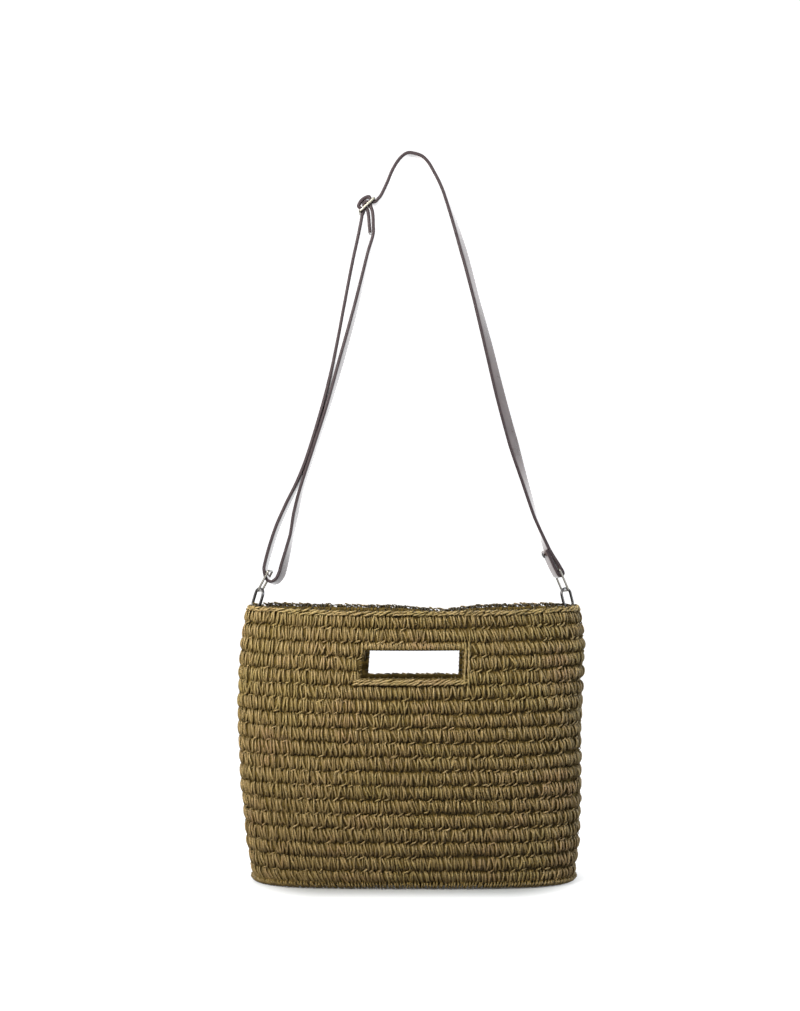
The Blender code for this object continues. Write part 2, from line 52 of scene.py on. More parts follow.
SECTIONS = np.array((
    (0.00, 0.885, 0.84, 3.4, 0.007),
    (0.015, 0.920, 0.93, 3.3, 0.007),
    (0.05, 0.940, 0.98, 3.2, 0.006),
    (0.15, 0.962, 1.00, 3.0, 0.004),
    (0.35, 0.985, 0.99, 2.8, -0.001),
    (0.55, 0.995, 0.95, 2.6, -0.005),
    (0.75, 1.000, 0.87, 2.4, -0.001),
    (0.85, 1.000, 0.81, 2.3, 0.004),
    (0.93, 0.985, 0.76, 2.15, 0.005),
    (1.00, 0.965, 0.73, 2.05, 0.006),
))
# Dents at the rim: place, spread, inward pull, drop and fade, as shares of the bag's sizes
DENTS = (
    (-0.96, 0.27, 0.045, 0.003, 0.0, 0.18),
    (0.95, 0.31, 0.045, 0.004, 0.0, 0.18),
    (0.17, 1.0, 0.08, 0.0, 0.015, 0.10),
)
SHARES = 720
LEVELS = 40
LINING_OUTSIDE = -2.5 * MM
LINING_WAVE = 1.3 * MM
LINING_THICKNESS = 2.0 * MM
LINING_COLUMNS = 240
LINING_ABOVE_FLOOR = 2 * MM
LINING_BELOW_RIM = 3 * MM
ROUNDS = 19
LOWEST_GROOVE = 3.4 * MM
HIGHEST_GROOVE = 264.9 * MM
ROUND_RISE = (HIGHEST_GROOVE - LOWEST_GROOVE) / ROUNDS
# Side, left and right edge of the opening, and its lower and upper edge above the base
GRIPS = {
    "front": (-1, -48.0 * MM, 49.0 * MM, 202.5 * MM, 230.4 * MM),
    "back": (1, -42.7 * MM, 48.5 * MM, 197.6 * MM, 227.0 * MM),
}


def section_value(name, height):
    return np.interp(height, SECTIONS[:, 0], SECTIONS[:, SECTION_COLUMNS.index(name)])


def oval(turn, half_length, half_depth, squareness):
    """Places on a squarish oval at angles around it."""
    across, along = np.sin(turn), np.cos(turn)
    return (half_length * np.sign(along) * np.abs(along) ** (2 / squareness),
            half_depth * np.sign(across) * np.abs(across) ** (2 / squareness))


def wall_at_turn(turn, height):
    """Places on the outside of the wall at angles around the bag, with the directions out of it."""
    half_length = BASKET_LENGTH / 2 * section_value("length", height)
    half_depth = BASKET_DEPTH / 2 * section_value("depth", height)
    squareness = section_value("squareness", height)
    x, y = oval(turn, half_length, half_depth, squareness)
    out_x = np.sign(x) * np.abs(x / half_length) ** (squareness - 1) / half_length
    out_y = np.sign(y) * np.abs(y / half_depth) ** (squareness - 1) / half_depth
    outward = np.stack((out_x, out_y, np.zeros_like(out_x)), axis=-1)
    outward /= np.linalg.norm(outward, axis=-1, keepdims=True)
    sag = RIM_SAG * (1 - (x / half_length) ** 2) * height
    place = np.stack((x + BASKET_LENGTH * section_value("shift", height), y,
                      FLOOR + BASKET_HEIGHT * height - sag), axis=-1)
    for at_x, at_y, spread, inward, drop, fade in DENTS:
        away = np.hypot(x - at_x * half_length, y - at_y * half_depth) / (spread * BASKET_LENGTH)
        weight = np.exp(-away ** 2) * np.exp(-((1 - height) / fade) ** 2)
        place -= outward * (inward * BASKET_LENGTH * weight)[..., None]
        place[..., 2] -= drop * BASKET_HEIGHT * weight
    return place, outward


def even_turns():
    """The angle that each even share of the way round lies at, level by level."""
    turns = np.linspace(0, 2 * math.pi, 8 * SHARES + 1)
    table = []
    for height in np.linspace(0, 1, LEVELS + 1):
        places = wall_at_turn(turns, np.full_like(turns, height))[0][:, :2]
        run = np.concatenate(((0.0,), np.cumsum(np.linalg.norm(np.diff(places, axis=0), axis=1))))
        table.append(np.interp(np.linspace(0, 1, SHARES + 1), run / run[-1], turns))
    return np.array(table), run[-1]


EVEN_TURNS, RIM_GIRTH = even_turns()
GIRTH = 1.05 * RIM_GIRTH


def on_wall(spots):
    """Places on the bag for spots given in metres round it, above its base and out of its wall."""
    share = (spots[..., 0] / GIRTH) % 1.0 * SHARES
    height = np.clip(spots[..., 1] / BASKET_HEIGHT, 0.0, 1.0)
    level = height * LEVELS
    column, row = np.minimum(share.astype(int), SHARES - 1), np.minimum(level.astype(int), LEVELS - 1)
    right, up = share - column, level - row
    lower = EVEN_TURNS[row, column] * (1 - right) + EVEN_TURNS[row, column + 1] * right
    upper = EVEN_TURNS[row + 1, column] * (1 - right) + EVEN_TURNS[row + 1, column + 1] * right
    place, outward = wall_at_turn(lower * (1 - up) + upper * up, height)
    place = place + outward * spots[..., 2:3]
    place[..., 2] += spots[..., 1] - height * BASKET_HEIGHT
    return place


def around_at(x, side, up):
    """How far round the wall a place on the front or back at x is."""
    around = np.linspace(0.0, 0.5, 2001) * GIRTH + (0.0 if side > 0 else GIRTH / 2)
    spots = np.stack((around, np.full_like(around, up), np.zeros_like(around)), axis=-1)
    along = on_wall(spots)[:, 0]
    if side > 0:
        around, along = around[::-1], along[::-1]
    return float(np.interp(x, along, around))


def grip_edges(grip):
    """Where an opening starts and ends round the wall, and its lower and upper edge."""
    side, left, right, low, high = GRIPS[grip]
    ends = sorted((around_at(left, side, (low + high) / 2), around_at(right, side, (low + high) / 2)))
    return ends[0], ends[1], low, high


class Value:
    """A number inside a finish. Sums and products of values become the finish's own maths."""

    def __init__(self, nodes, socket):
        self.nodes, self.socket = nodes, socket

    def maths(self, operation, first, second):
        return self.nodes.node("ShaderNodeMath", {"operation": operation}, {0: first, 1: second})

    def __add__(self, other):
        return self.maths("ADD", self, other)

    def __sub__(self, other):
        return self.maths("SUBTRACT", self, other)

    def __rsub__(self, other):
        return self.maths("SUBTRACT", other, self)

    def __mul__(self, other):
        return self.maths("MULTIPLY", self, other)

    __radd__, __rmul__ = __add__, __mul__


class Nodes:
    """The nodes of a finish or of the light around the bag: each is made and wired in one call."""

    def __init__(self, tree):
        self.tree = tree

    def node(self, kind, settings, inputs, output=0):
        made = self.tree.nodes.new(kind)
        for setting, value in settings.items():
            setattr(made, setting, value)
        for name, value in inputs.items():
            if isinstance(value, Value):
                self.tree.links.new(value.socket, made.inputs[name])
            else:
                made.inputs[name].default_value = value
        return Value(self, made.outputs[output])

    def vector(self, operation, first, second=(0.0, 0.0, 0.0), output=0):
        return self.node("ShaderNodeVectorMath", {"operation": operation}, {0: first, 1: second}, output)


class Finish(Nodes):
    """A material: its constants are set on the shader, and what varies is wired by its nodes."""

    def __init__(self, name, **constants):
        self.material = bpy.data.materials.new(name)
        self.material.use_nodes = True
        super().__init__(self.material.node_tree)
        self.shader = self.tree.nodes["Principled BSDF"]
        for socket, value in constants.items():
            self.shader.inputs[socket.replace("_", " ")].default_value = value

    def attribute(self, name):
        return self.node("ShaderNodeAttribute", {"attribute_name": name}, {}, "Fac")

    def place(self):
        return self.node("ShaderNodeTexCoord", {}, {}, "Object")

    def noise(self, scale, detail):
        return self.node("ShaderNodeTexNoise", {},
                         {"Vector": self.place(), "Scale": scale, "Detail": detail})

    def mix(self, share, first, second):
        """A colour between two others, each a value or three numbers."""
        first, second = (c if isinstance(c, Value) else (*c, 1.0) for c in (first, second))
        return self.node("ShaderNodeMix", {"data_type": "RGBA"}, {0: share, 6: first, 7: second}, 2)

    def between(self, value, low, high, start=0.0, end=1.0):
        return self.node("ShaderNodeMapRange", {"interpolation_type": "SMOOTHSTEP"},
                         {0: value, 1: low, 2: high, 3: start, 4: end})

    def use(self, **wired):
        for socket, value in wired.items():
            self.tree.links.new(value.socket, self.shader.inputs[socket.replace("_", " ")])

    def bump(self, height, distance, strength=1.0):
        inputs = {"Height": height, "Distance": distance, "Strength": strength}
        self.use(Normal=self.node("ShaderNodeBump", {}, inputs))


def put(name, data):
    """An object in the scene for a mesh, curve, lamp or camera."""
    made = bpy.data.objects.new(name, data)
    bpy.context.scene.collection.objects.link(made)
    return made


def mesh_of(holder):
    """The mesh that an object's curve or modifiers make; the object itself goes."""
    made = bpy.data.meshes.new_from_object(holder.evaluated_get(bpy.context.evaluated_depsgraph_get()))
    bpy.data.objects.remove(holder)
    return made


def finish_piece(piece, material, slot, *nodes):
    piece.data.materials.clear()
    piece.data.materials.append(material)
    piece.data.shade_smooth()
    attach(piece, "root")
    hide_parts(*nodes)


def piece_from(name, bm):
    bmesh.ops.recalc_face_normals(bm, faces=bm.faces)
    mesh = bpy.data.meshes.new(name)
    bm.to_mesh(mesh)
    bm.free()
    return put(name, mesh)


def shadow_brown():
    """Straw at the bottom of the stitches, darkened as painted shade: matt and a little uneven."""
    finish = Finish("straw_in_shadow", Roughness=0.85, Specular_IOR_Level=0.2)
    patches = finish.noise(160.0, 3.0)
    finish.use(Base_Color=finish.mix(finish.between(patches, 0.3, 0.7), (0.060, 0.039, 0.008),
                                     (0.130, 0.086, 0.017)))
    finish.bump(patches, 0.8 * MM)
    return finish.material


def make_lining():
    low, high = LINING_ABOVE_FLOOR, BASKET_HEIGHT - LINING_BELOW_RIM
    bm = bmesh.new()
    bmesh.ops.create_grid(bm, x_segments=LINING_COLUMNS, y_segments=4 * ROUNDS, size=0.5,
                          matrix=Matrix.Translation((0.5, 0.5, 0.0)))
    bmesh.ops.transform(bm, matrix=Matrix.Diagonal((GIRTH, high - low, 1.0, 1.0)), verts=bm.verts)
    bmesh.ops.translate(bm, vec=(0.0, low, 0.0), verts=bm.verts)
    for grip in GRIPS:
        start, end, bottom, top = grip_edges(grip)
        for at, normal in (((start, 0, 0), (1, 0, 0)), ((end, 0, 0), (1, 0, 0)),
                           ((0, bottom, 0), (0, 1, 0)), ((0, top, 0), (0, 1, 0))):
            bmesh.ops.bisect_plane(bm, geom=bm.verts[:] + bm.edges[:] + bm.faces[:], dist=1e-6,
                                   plane_co=at, plane_no=normal)
        inside = [face for face in bm.faces if start < face.calc_center_median().x < end
                  and bottom < face.calc_center_median().y < top]
        bmesh.ops.delete(bm, geom=inside, context="FACES")
    spots = np.array([v.co for v in bm.verts])
    rounds_up = (spots[:, 1] - LOWEST_GROOVE) / ROUND_RISE
    spots[:, 2] = LINING_OUTSIDE - LINING_WAVE * np.cos(2 * math.pi * rounds_up)
    for vertex, place in zip(bm.verts, on_wall(spots)):
        vertex.co = place
    bmesh.ops.remove_doubles(bm, verts=bm.verts, dist=0.01 * MM)
    foot = [edge for edge in bm.edges if edge.is_boundary and edge.verts[0].co.z < FLOOR + 3 * MM]
    bmesh.ops.holes_fill(bm, edges=foot)
    bmesh.ops.recalc_face_normals(bm, faces=bm.faces)
    bmesh.ops.solidify(bm, geom=bm.faces[:], thickness=LINING_THICKNESS)
    lining = piece_from("straw_lining", bm)
    # The lining takes the dark straw of painted shade between the strands
    finish_piece(lining, shadow_brown(), "straw", "basket")


make_lining()


# The rounds of stitches: twisted paper straw, satin khaki, in nineteen rounds of slanting strands
# that dive behind each other at both ends, with short loops across the grooves between the rounds.
STRANDS_PER_ROUND = 188
STRAND_SIDES = 6
STRAND_STEPS = 6
STRAND_RADIUS = 0.95 * MM
STRAND_THIN_END = 0.72
BEHIND_RADIUS = 1.1 * MM
TUCK = -3.6 * MM
DIVE = 2.6
PAIR_OPENING = 0.50 * MM
LEAN = -1.10 * MM
HOOK = -1.9 * MM
PACKED_FROM, PACKED_TO = 0.3, 0.74
INSIDE_STRANDS = 116
INSIDE_STEPS = 4
INSIDE_RADIUS = 1.35 * MM
INSIDE_DEPTH = -6.3 * MM
GROOVE_LOOPS = 92
GROOVE_LOOP_RADIUS = 0.82 * MM
# How far across and how deep a short slanted strand is at each of its points
SLANTED = ((-1.0, 1.0), (-0.62, 0.25), (0.0, -0.12), (0.62, 0.25), (1.0, 1.0))
chance = np.random.default_rng(7)


def strand_blank(sides, steps):
    """A straight rod one metre long, in rings that can be bent to any path."""
    bm = bmesh.new()
    bmesh.ops.create_cone(bm, cap_ends=True, segments=sides, radius1=1.0, radius2=1.0, depth=1.0)
    upright = [edge for edge in bm.edges if abs(edge.verts[0].co.z - edge.verts[1].co.z) > 0.5]
    bmesh.ops.subdivide_edges(bm, edges=upright, cuts=steps - 1, use_grid_fill=True)
    blank = bpy.data.meshes.new("strand_blank")
    bm.to_mesh(blank)
    bm.free()
    return blank


def rings_of(blank, steps):
    """The ring that each corner of a blank is on, and its angle round the rod."""
    corners = np.empty(len(blank.vertices) * 3, dtype=np.float32)
    blank.vertices.foreach_get("co", corners)
    x, y, z = corners.reshape(-1, 3).T
    return np.rint((z + 0.5) * steps).astype(int), np.arctan2(y, x)


def copies_of(blank, count):
    """One mesh that holds the blank many times."""
    holder = put("copies", blank)
    array = holder.modifiers.new("copies", "ARRAY")
    array.count = count
    array.use_relative_offset = False
    array.use_constant_offset = True
    array.constant_offset_displace = (10.0, 0.0, 0.0)
    return mesh_of(holder)


def shape_mesh(mesh, places, **layers):
    """Moves a mesh's corners to their places and stores what its finish reads from them."""
    mesh.vertices.foreach_set("co", places.reshape(-1).astype(np.float32))
    for layer, values in layers.items():
        mesh.attributes.new(layer, "FLOAT", "POINT").data.foreach_set("value", values.astype(np.float32))
    mesh.update()


def smooth_through(controls, steps):
    """A smooth line along each row of control points."""
    count = controls.shape[1] - 1
    if count == steps:
        return controls
    t = np.linspace(0, 1, steps + 1)
    weights = np.stack([math.comb(count, k) * t ** k * (1 - t) ** (count - k) for k in range(count + 1)])
    return np.einsum("kj,nkc->njc", weights, controls)


def make_strands(name, controls, radius, flat=0.8, across=(0.0, 0.0, 1.0), sunk=0.0, surface=on_wall,
                 sides=STRAND_SIDES, steps=STRAND_STEPS):
    """Many strands at once, each along its own control points on the bag."""
    count = len(controls)
    blank = strand_blank(sides, steps)
    ring, angle = rings_of(blank, steps)
    mesh = copies_of(blank, count)
    mesh.name = name
    line = smooth_through(controls, steps)
    along = np.gradient(line, axis=1)
    along /= np.linalg.norm(along, axis=-1, keepdims=True)
    side = np.cross(along, np.broadcast_to(np.array(across), along.shape))
    side /= np.linalg.norm(side, axis=-1, keepdims=True)
    face = np.cross(side, along)
    taper = STRAND_THIN_END + (1 - STRAND_THIN_END) * np.sin(np.pi * np.linspace(0, 1, steps + 1))
    thick = np.broadcast_to(radius, (count,))[:, None] * taper[None, :]
    spots = (line[:, ring] + side[:, ring] * (np.cos(angle) * thick[:, ring])[..., None]
             + face[:, ring] * (np.sin(angle) * thick[:, ring] * flat)[..., None])
    # Painted shade level along each strand: rising to its ends, where it dives, and never below sunk
    tips = np.tile(np.maximum(np.abs(np.linspace(-1, 1, steps + 1)), sunk)[ring], count)
    shape_mesh(mesh, surface(spots), tone=np.repeat(chance.random(count), len(ring)), tip=tips)
    finish_piece(put(name, mesh), STRAW, "straw", "basket")


def controls_at(points, spot):
    """Control points of many strands: spot gives where all of them are at each row of points."""
    return np.stack([np.stack(np.broadcast_arrays(*spot(*row)), axis=-1) for row in points], axis=1)


def straw():
    """Satin paper straw: tan, olive and pinkish strands, finely creased, with painted shade where they
    dive.
    """
    finish = Finish("straw", Roughness=0.55, Specular_IOR_Level=0.45)
    tone, tip = finish.attribute("tone"), finish.attribute("tip")
    fibres, patches = finish.noise(900.0, 3.0), finish.noise(22.0, 2.0)
    light = finish.mix(tone, (0.265, 0.178, 0.056), (0.405, 0.290, 0.116))
    light = finish.mix(finish.between(patches, 0.5, 0.72) * 0.6, light, (0.390, 0.232, 0.110))
    light = finish.mix(finish.between(patches, 0.5, 0.3) * 0.5, light, (0.300, 0.228, 0.054))
    creased = finish.mix(finish.between(fibres, 0.35, 0.75) * 0.55, light, (0.185, 0.122, 0.040))
    # Painted shade: darker where strands dive at their ends, near black where they pass inside the wall
    in_painted_shade = finish.mix(finish.between(tip, 0.35, 1.0), creased, (0.145, 0.094, 0.018))
    finish.use(Base_Color=finish.mix(finish.between(tip, 1.0, 2.0), in_painted_shade, (0.030, 0.023, 0.011)),
               Roughness=finish.between(fibres, 0.2, 0.8, 0.46, 0.66))
    finish.bump(fibres, 0.3 * MM, 0.6)
    return finish.material


STRAW = straw()


def in_grip(around, up, before, after, above, below):
    """True where a spot lies within an opening, widened by the given amounts."""
    hit = np.zeros(around.shape, dtype=bool)
    for grip in GRIPS:
        start, end, low, high = grip_edges(grip)
        hit |= ((around > start - before) & (around < end + after)
                & (up > low - below) & (up < high + above))
    return hit


def scatter(count, spread):
    return spread * chance.standard_normal(count)


def spread_round(count, spread, offset=0.0):
    """Places all the way round the wall, each a share of the pitch off its even one."""
    return (np.arange(count) + offset + scatter(count, spread)) / count * GIRTH


def unevenness(around, index):
    """How far a round wanders up or down where the stitches were pulled tighter or looser."""
    turns = around / GIRTH * 2 * math.pi
    return 0.45 * MM * (np.sin(3 * turns + 2.3 * index) + 0.7 * np.sin(8 * turns - 1.1 * index))


def make_round(index, offset, crest, reach, bend):
    """One round's strands, bottom to top: each stands proud in its middle and dives at both ends."""
    count = STRANDS_PER_ROUND
    s = np.linspace(-1, 1, STRAND_STEPS + 1)[None, :]
    around = spread_round(count, 0.12, offset)
    up = LOWEST_GROOVE + (index + 0.5) * ROUND_RISE + scatter(count, 0.35 * MM) + unevenness(around, index)
    pair = np.where(np.arange(count) % 2 == 0, 1.0, -1.0)
    lean = PAIR_OPENING * pair + LEAN + scatter(count, 0.85 * MM)
    bow, curl = scatter(count, bend), scatter(count, bend / 2)
    share = around / GIRTH % 1.0
    packed = np.clip((PACKED_TO - share) / 0.16, 0.0, 1.0) * np.clip((share - PACKED_FROM) / 0.1, 0.0, 1.0)
    hook = np.where(chance.random(count) < 0.35 + 0.25 * packed, HOOK, 0.0)
    half = ((reach + 0.05 * packed) * ROUND_RISE + scatter(count, 0.65 * MM))[:, None]
    top = (crest + scatter(count, 0.4 * MM))[:, None]
    foot = (TUCK + 1.1 * MM * packed)[:, None]
    sideways = (lean[:, None] * s + bow[:, None] * (1 - s ** 2) + curl[:, None] * np.sin(math.pi * s)
                + hook[:, None] * np.clip(-s - 0.35, 0.0, 1.0) ** 1.5 / 0.52)
    controls = np.stack((around[:, None] + sideways, up[:, None] + half * (1.15 * s - 0.15 * s ** 3),
                         top + (foot - top) * np.abs(s) ** DIVE), axis=-1)
    return controls[~in_grip(around, up, 1.5 * MM, 8 * MM, 5 * MM, 5 * MM)]


def make_rounds():
    """The front rounds in three pieces, and a second layer that fills the gaps behind them, in painted
    shade.
    """
    starts = chance.random(ROUNDS)
    for number, rounds in enumerate(np.array_split(np.arange(ROUNDS), 3)):
        controls = np.concatenate([make_round(i, starts[i], -0.5 * MM, 0.46, 0.45 * MM) for i in rounds])
        make_strands(f"straw_rounds_{number + 1}", controls,
                     STRAND_RADIUS + scatter(len(controls), 0.12 * MM))
    controls = np.concatenate([make_round(i, starts[i] + 0.5, -1.5 * MM, 0.48, 0.6 * MM)
                               for i in range(ROUNDS)])
    make_strands("straw_rounds_behind", controls, BEHIND_RADIUS, sunk=0.82, sides=4)


def make_inside():
    """The back of the rounds: flatter strands on the inner side of the wall, dark with painted shade."""
    count = INSIDE_STRANDS
    s = np.linspace(-1, 1, INSIDE_STEPS + 1)[None, :]
    rounds = []
    for index in range(ROUNDS):
        around = spread_round(count, 0.15, chance.random())
        up = LOWEST_GROOVE + (index + 0.5) * ROUND_RISE + scatter(count, 0.4 * MM)
        lean = (1.0 * MM + scatter(count, 0.9 * MM))[:, None]
        spots = (around[:, None] + lean * s, up[:, None] + 0.46 * ROUND_RISE * s,
                 INSIDE_DEPTH + 1.5 * MM * s ** 4)
        controls = np.stack(np.broadcast_arrays(*spots), axis=-1)
        rounds.append(controls[~in_grip(around, up, 1.5 * MM, 2 * MM, 5 * MM, 5 * MM)])
    make_strands("straw_inside", np.concatenate(rounds), INSIDE_RADIUS, flat=0.6, sunk=1.45, sides=4,
                 steps=INSIDE_STEPS)


def slanted(around, up, reach, rise, depth, drop):
    """Short strands that slant across the bag: standing proud in the middle, diving at both ends."""
    return controls_at(SLANTED, lambda s, d: (around + reach * s, up + rise * s, depth - drop * d))


def make_groove_loops():
    """Short loops that cross the grooves between the rounds."""
    count = GROOVE_LOOPS
    groups = []
    for index in range(ROUNDS):
        around = spread_round(count, 0.15, chance.random())
        up = LOWEST_GROOVE + index * ROUND_RISE + scatter(count, 0.4 * MM) + unevenness(around, index)
        group = slanted(around, up, 2.9 * MM + scatter(count, 0.4 * MM),
                        1.6 * MM + scatter(count, 0.45 * MM), -1.0 * MM + scatter(count, 0.3 * MM),
                        2.2 * MM)
        likely = 0.5 + 0.35 * np.sin(2 * math.pi * around / (0.12 + 0.01 * index) + 1.7 * index)
        groups.append(group[~in_grip(around, up, 2 * MM, 8 * MM, 6 * MM, 5 * MM)
                            & (chance.random(count) < likely)])
    controls = np.concatenate(groups)
    make_strands("straw_groove_loops", controls, GROOVE_LOOP_RADIUS + scatter(len(controls), 0.1 * MM),
                 sides=5, steps=5)


make_rounds()
make_inside()
make_groove_loops()


# The rim: the last round's chain, whose strands lie nearly level along the edge outside and inside,
# with loops drawn over the top, and looser, lacier loops along the back.
RIM_BACK_LIFT = 1.9 * MM
RIM_CHAIN_RADIUS = 1.02 * MM
# Height above the base, depth and pitch of the chain's two rows, in millimetres
RIM_CHAINS = ((264.6, 0.1, 5.8), (266.7, -0.6, 6.4))
RIM_LOOPS = 200
RIM_LOOP_FOOT = 264.0 * MM
RIM_LOOP_RADIUS = 0.9 * MM
# Along the rim, up over it, and out of the wall in metres
RIM_LOOP = ((-1.0, 0.3, -2.2 * MM), (-0.7, 0.95, -1.6 * MM), (-0.2, 1.1, -2.6 * MM),
            (0.3, 1.1, -3.2 * MM), (0.7, 0.95, -4.9 * MM), (1.0, 0.0, -5.2 * MM))
LACE_LOOP = ((-1.0, -0.6), (-1.35, 0.9), (-0.4, 1.55), (0.5, 1.5), (1.3, 0.9), (0.9, -0.6))
LACE_FOOT = 268.6 * MM
LACE_DEPTH = -3.6 * MM
LACE_RADIUS = 0.7 * MM


def rim_lift(around):
    """The back of the rim stands a little higher than its front."""
    return RIM_BACK_LIFT * np.clip(3 * np.sin(2 * math.pi * around / GIRTH), 0.0, 1.0)


def make_rim():
    chains = []
    for level, depth, pitch in RIM_CHAINS:
        count = round(GIRTH / (pitch * MM))
        around = spread_round(count, 0.2)
        up = level * MM + scatter(count, 0.35 * MM) + 0.7 * unevenness(around, ROUNDS) + rim_lift(around)
        chains.append(slanted(around, up, 4.4 * MM + scatter(count, 0.6 * MM),
                              1.3 * MM + scatter(count, 0.4 * MM), depth * MM + scatter(count, 0.2 * MM),
                              1.9 * MM))
    controls = np.concatenate(chains)
    make_strands("straw_rim_chain", controls, RIM_CHAIN_RADIUS + scatter(len(controls), 0.1 * MM))
    count = RIM_LOOPS
    around = spread_round(count, 0.2)
    slant = 1.2 * MM + scatter(count, 0.8 * MM)
    top = 3.4 * MM + rim_lift(around) + scatter(count, 0.35 * MM)
    controls = controls_at(RIM_LOOP, lambda s, up, out: (around + slant * s, RIM_LOOP_FOOT + up * top, out))
    # Painted shade: the loops darken over the rim to near black on their inner leg
    make_strands("straw_rim_loops", controls, RIM_LOOP_RADIUS + scatter(count, 0.1 * MM),
                 across=(1.0, 0.0, 0.0), sunk=np.linspace(0.5, 2.8, STRAND_STEPS + 1))


def lace(around, foot, width, height):
    """Loose loops that stand on an edge."""
    return controls_at(LACE_LOOP, lambda s, up: (around + width / 2 * s, foot + height * up, LACE_DEPTH))


def make_back_lace():
    around = np.arange(0.03, 0.47, 0.0085) * GIRTH
    count = len(around)
    rim = lace(around + scatter(count, 1 * MM), LACE_FOOT, 5.5 * MM + scatter(count, 1.4 * MM),
               0.7 * MM + scatter(count, 0.5 * MM))
    start, end, low, high = grip_edges("back")
    around = np.arange(start + 3 * MM, end - 2 * MM, 6.6 * MM)
    count = len(around)
    sill = lace(around + scatter(count, 0.8 * MM), low, 5.0 * MM + scatter(count, 1.2 * MM),
                0.7 * MM + scatter(count, 0.4 * MM))
    # Painted shade: the lace on the back rim and the back grip's sill is dark all along
    make_strands("straw_back_lace", np.concatenate((rim, sill)), LACE_RADIUS, sunk=1.7, steps=9)


make_rim()
make_back_lace()


# The edges of the hand grips: a short round above each opening, a chain below it, a column of
# stitches at one end, and loops wrapped round the cut.
GRIP_ROW_PITCH = 4.0 * MM
GRIP_CHAIN_PITCH = 5.0 * MM
GRIP_FOOT = LOWEST_GROOVE + 14 * ROUND_RISE
GRIP_TOP = LOWEST_GROOVE + 17 * ROUND_RISE
# Points of one strand in millimetres: along its own way, past the cut edge, and out of the wall
GRIP_ROW = ((-1.0, -2.0), (-0.8, -0.3), (0.0, -0.2), (0.7, -0.6), (1.0, -3.2))
LEVEL_WRAP = ((-1.0, -2.0, -1.6), (-0.6, 0.2, -1.4), (0.0, 0.6, -2.6), (0.6, 0.2, -4.6), (1.0, -2.6, -4.8))
UPRIGHT_WRAP = ((-1.0, -2.6, -2.4), (-0.6, -0.6, -1.2), (0.0, 0.6, -2.8), (0.6, 0.0, -4.8),
                (1.0, -3.0, -4.9))


def grip_rows(start, end, high):
    """The short round above an opening, in two layers."""
    half = (GRIP_TOP - high) / 2 + 0.2 * MM
    rows = []
    for offset, sink in ((0.0, 0.0), (2.0, 1.2)):
        around = np.arange(start - 1 * MM + offset * MM, end + 1 * MM, GRIP_ROW_PITCH)
        around = around + scatter(len(around), 0.4 * MM)
        lean = -0.5 * MM + scatter(len(around), 0.6 * MM)
        rows.append(controls_at(GRIP_ROW, lambda s, d: (around + lean * s, high + half + half * s,
                                                        (d - sink) * MM)))
    return rows


def grip_chains(start, end, low):
    """The plait below an opening and the column of stitches at its end."""
    chains = []
    around = np.arange(start - 3 * MM, end + 4 * MM, GRIP_CHAIN_PITCH)
    count = len(around)
    for share, depth in ((0.3, 0.1), (0.7, -0.3)):
        chains.append(slanted(around + scatter(count, 0.6 * MM),
                              GRIP_FOOT + (low - GRIP_FOOT) * share + scatter(count, 0.3 * MM),
                              4.2 * MM, 1.5 * MM, depth * MM, 1.8 * MM))
    levels = np.arange(GRIP_FOOT + 3 * MM, GRIP_TOP, GRIP_CHAIN_PITCH)
    count = len(levels)
    for beside, depth in ((2.4, -0.1), (5.9, -0.5)):
        chains.append(slanted(end + beside * MM + scatter(count, 0.25 * MM),
                              levels + scatter(count, 0.4 * MM), scatter(count, 0.3 * MM) - 0.5 * MM,
                              4.8 * MM, depth * MM, 2.0 * MM))
    return chains


def level_wraps(start, end, low, high):
    """Loops round the lower and the upper cut."""
    wraps = []
    for edge, sign in ((low, 1.0), (high, -2.2)):
        around = np.arange(start, end, 4.3 * MM)
        around = around + scatter(len(around), 0.5 * MM)
        wraps.append(controls_at(LEVEL_WRAP, lambda s, past, out: (
            around + 1.0 * MM * s, edge + sign * past * MM, out * MM)))
    return wraps


def upright_wraps(start, end, low, high):
    """Loops round the cut at both ends."""
    wraps = []
    for edge, sign in ((start, 1.0), (end, -1.0)):
        up = np.arange(low, high, 4.4 * MM)
        up = up + scatter(len(up), 0.3 * MM)
        wraps.append(controls_at(UPRIGHT_WRAP, lambda s, past, out: (
            edge + sign * past * MM, up + 0.9 * MM * s, out * MM)))
    return wraps


def make_grip_edges():
    rows, chains, level, upright = [], [], [], []
    for grip in GRIPS:
        start, end, low, high = grip_edges(grip)
        rows += grip_rows(start, end, high)
        chains += grip_chains(start, end, low)
        level += level_wraps(start, end, low, high)
        upright += upright_wraps(start, end, low, high)
    make_strands("straw_grip_rows", np.concatenate(rows), 1.0 * MM)
    make_strands("straw_grip_chains", np.concatenate(chains), 1.1 * MM)
    # Painted shade: the wraps darken to near black where they pass inside the wall
    make_strands("straw_grip_wraps_level", np.concatenate(level), 0.85 * MM, across=(1.0, 0.0, 0.0),
                 sunk=np.linspace(0.5, 2.2, STRAND_STEPS + 1))
    make_strands("straw_grip_wraps_upright", np.concatenate(upright), 0.9 * MM, across=(0.0, 1.0, 0.0),
                 sunk=np.linspace(0.6, 2.2, STRAND_STEPS + 1))


make_grip_edges()


# The base: the same stitches in ovals, worked outward from a chain along the middle, and flattened
# where the bag stands on them.
BASE_RISE = 1.9 * MM
BASE_RADIUS = 1.15 * MM
# Strands in each oval, from the foot inward
BASE_STRANDS = (168, 150, 132)
# Across an oval, and down from the base in millimetres
BASE_STRAND = ((-1.0, -1.8), (-0.8, 0.3), (-0.3, 0.8), (0.3, 0.8), (0.8, 0.3), (1.0, -1.8))
FOOT_STRANDS = 250
FOOT_RADIUS = 1.6 * MM
# Along the foot, then up from the base and out of the wall in millimetres
FOOT_STRAND = ((-1.0, 6.0, -3.4), (-0.6, 5.5, 1.0), (-0.2, 2.5, 4.8), (0.2, -0.5, 7.0), (0.6, -0.2, 1.0),
               (1.0, 2.0, -8.0))


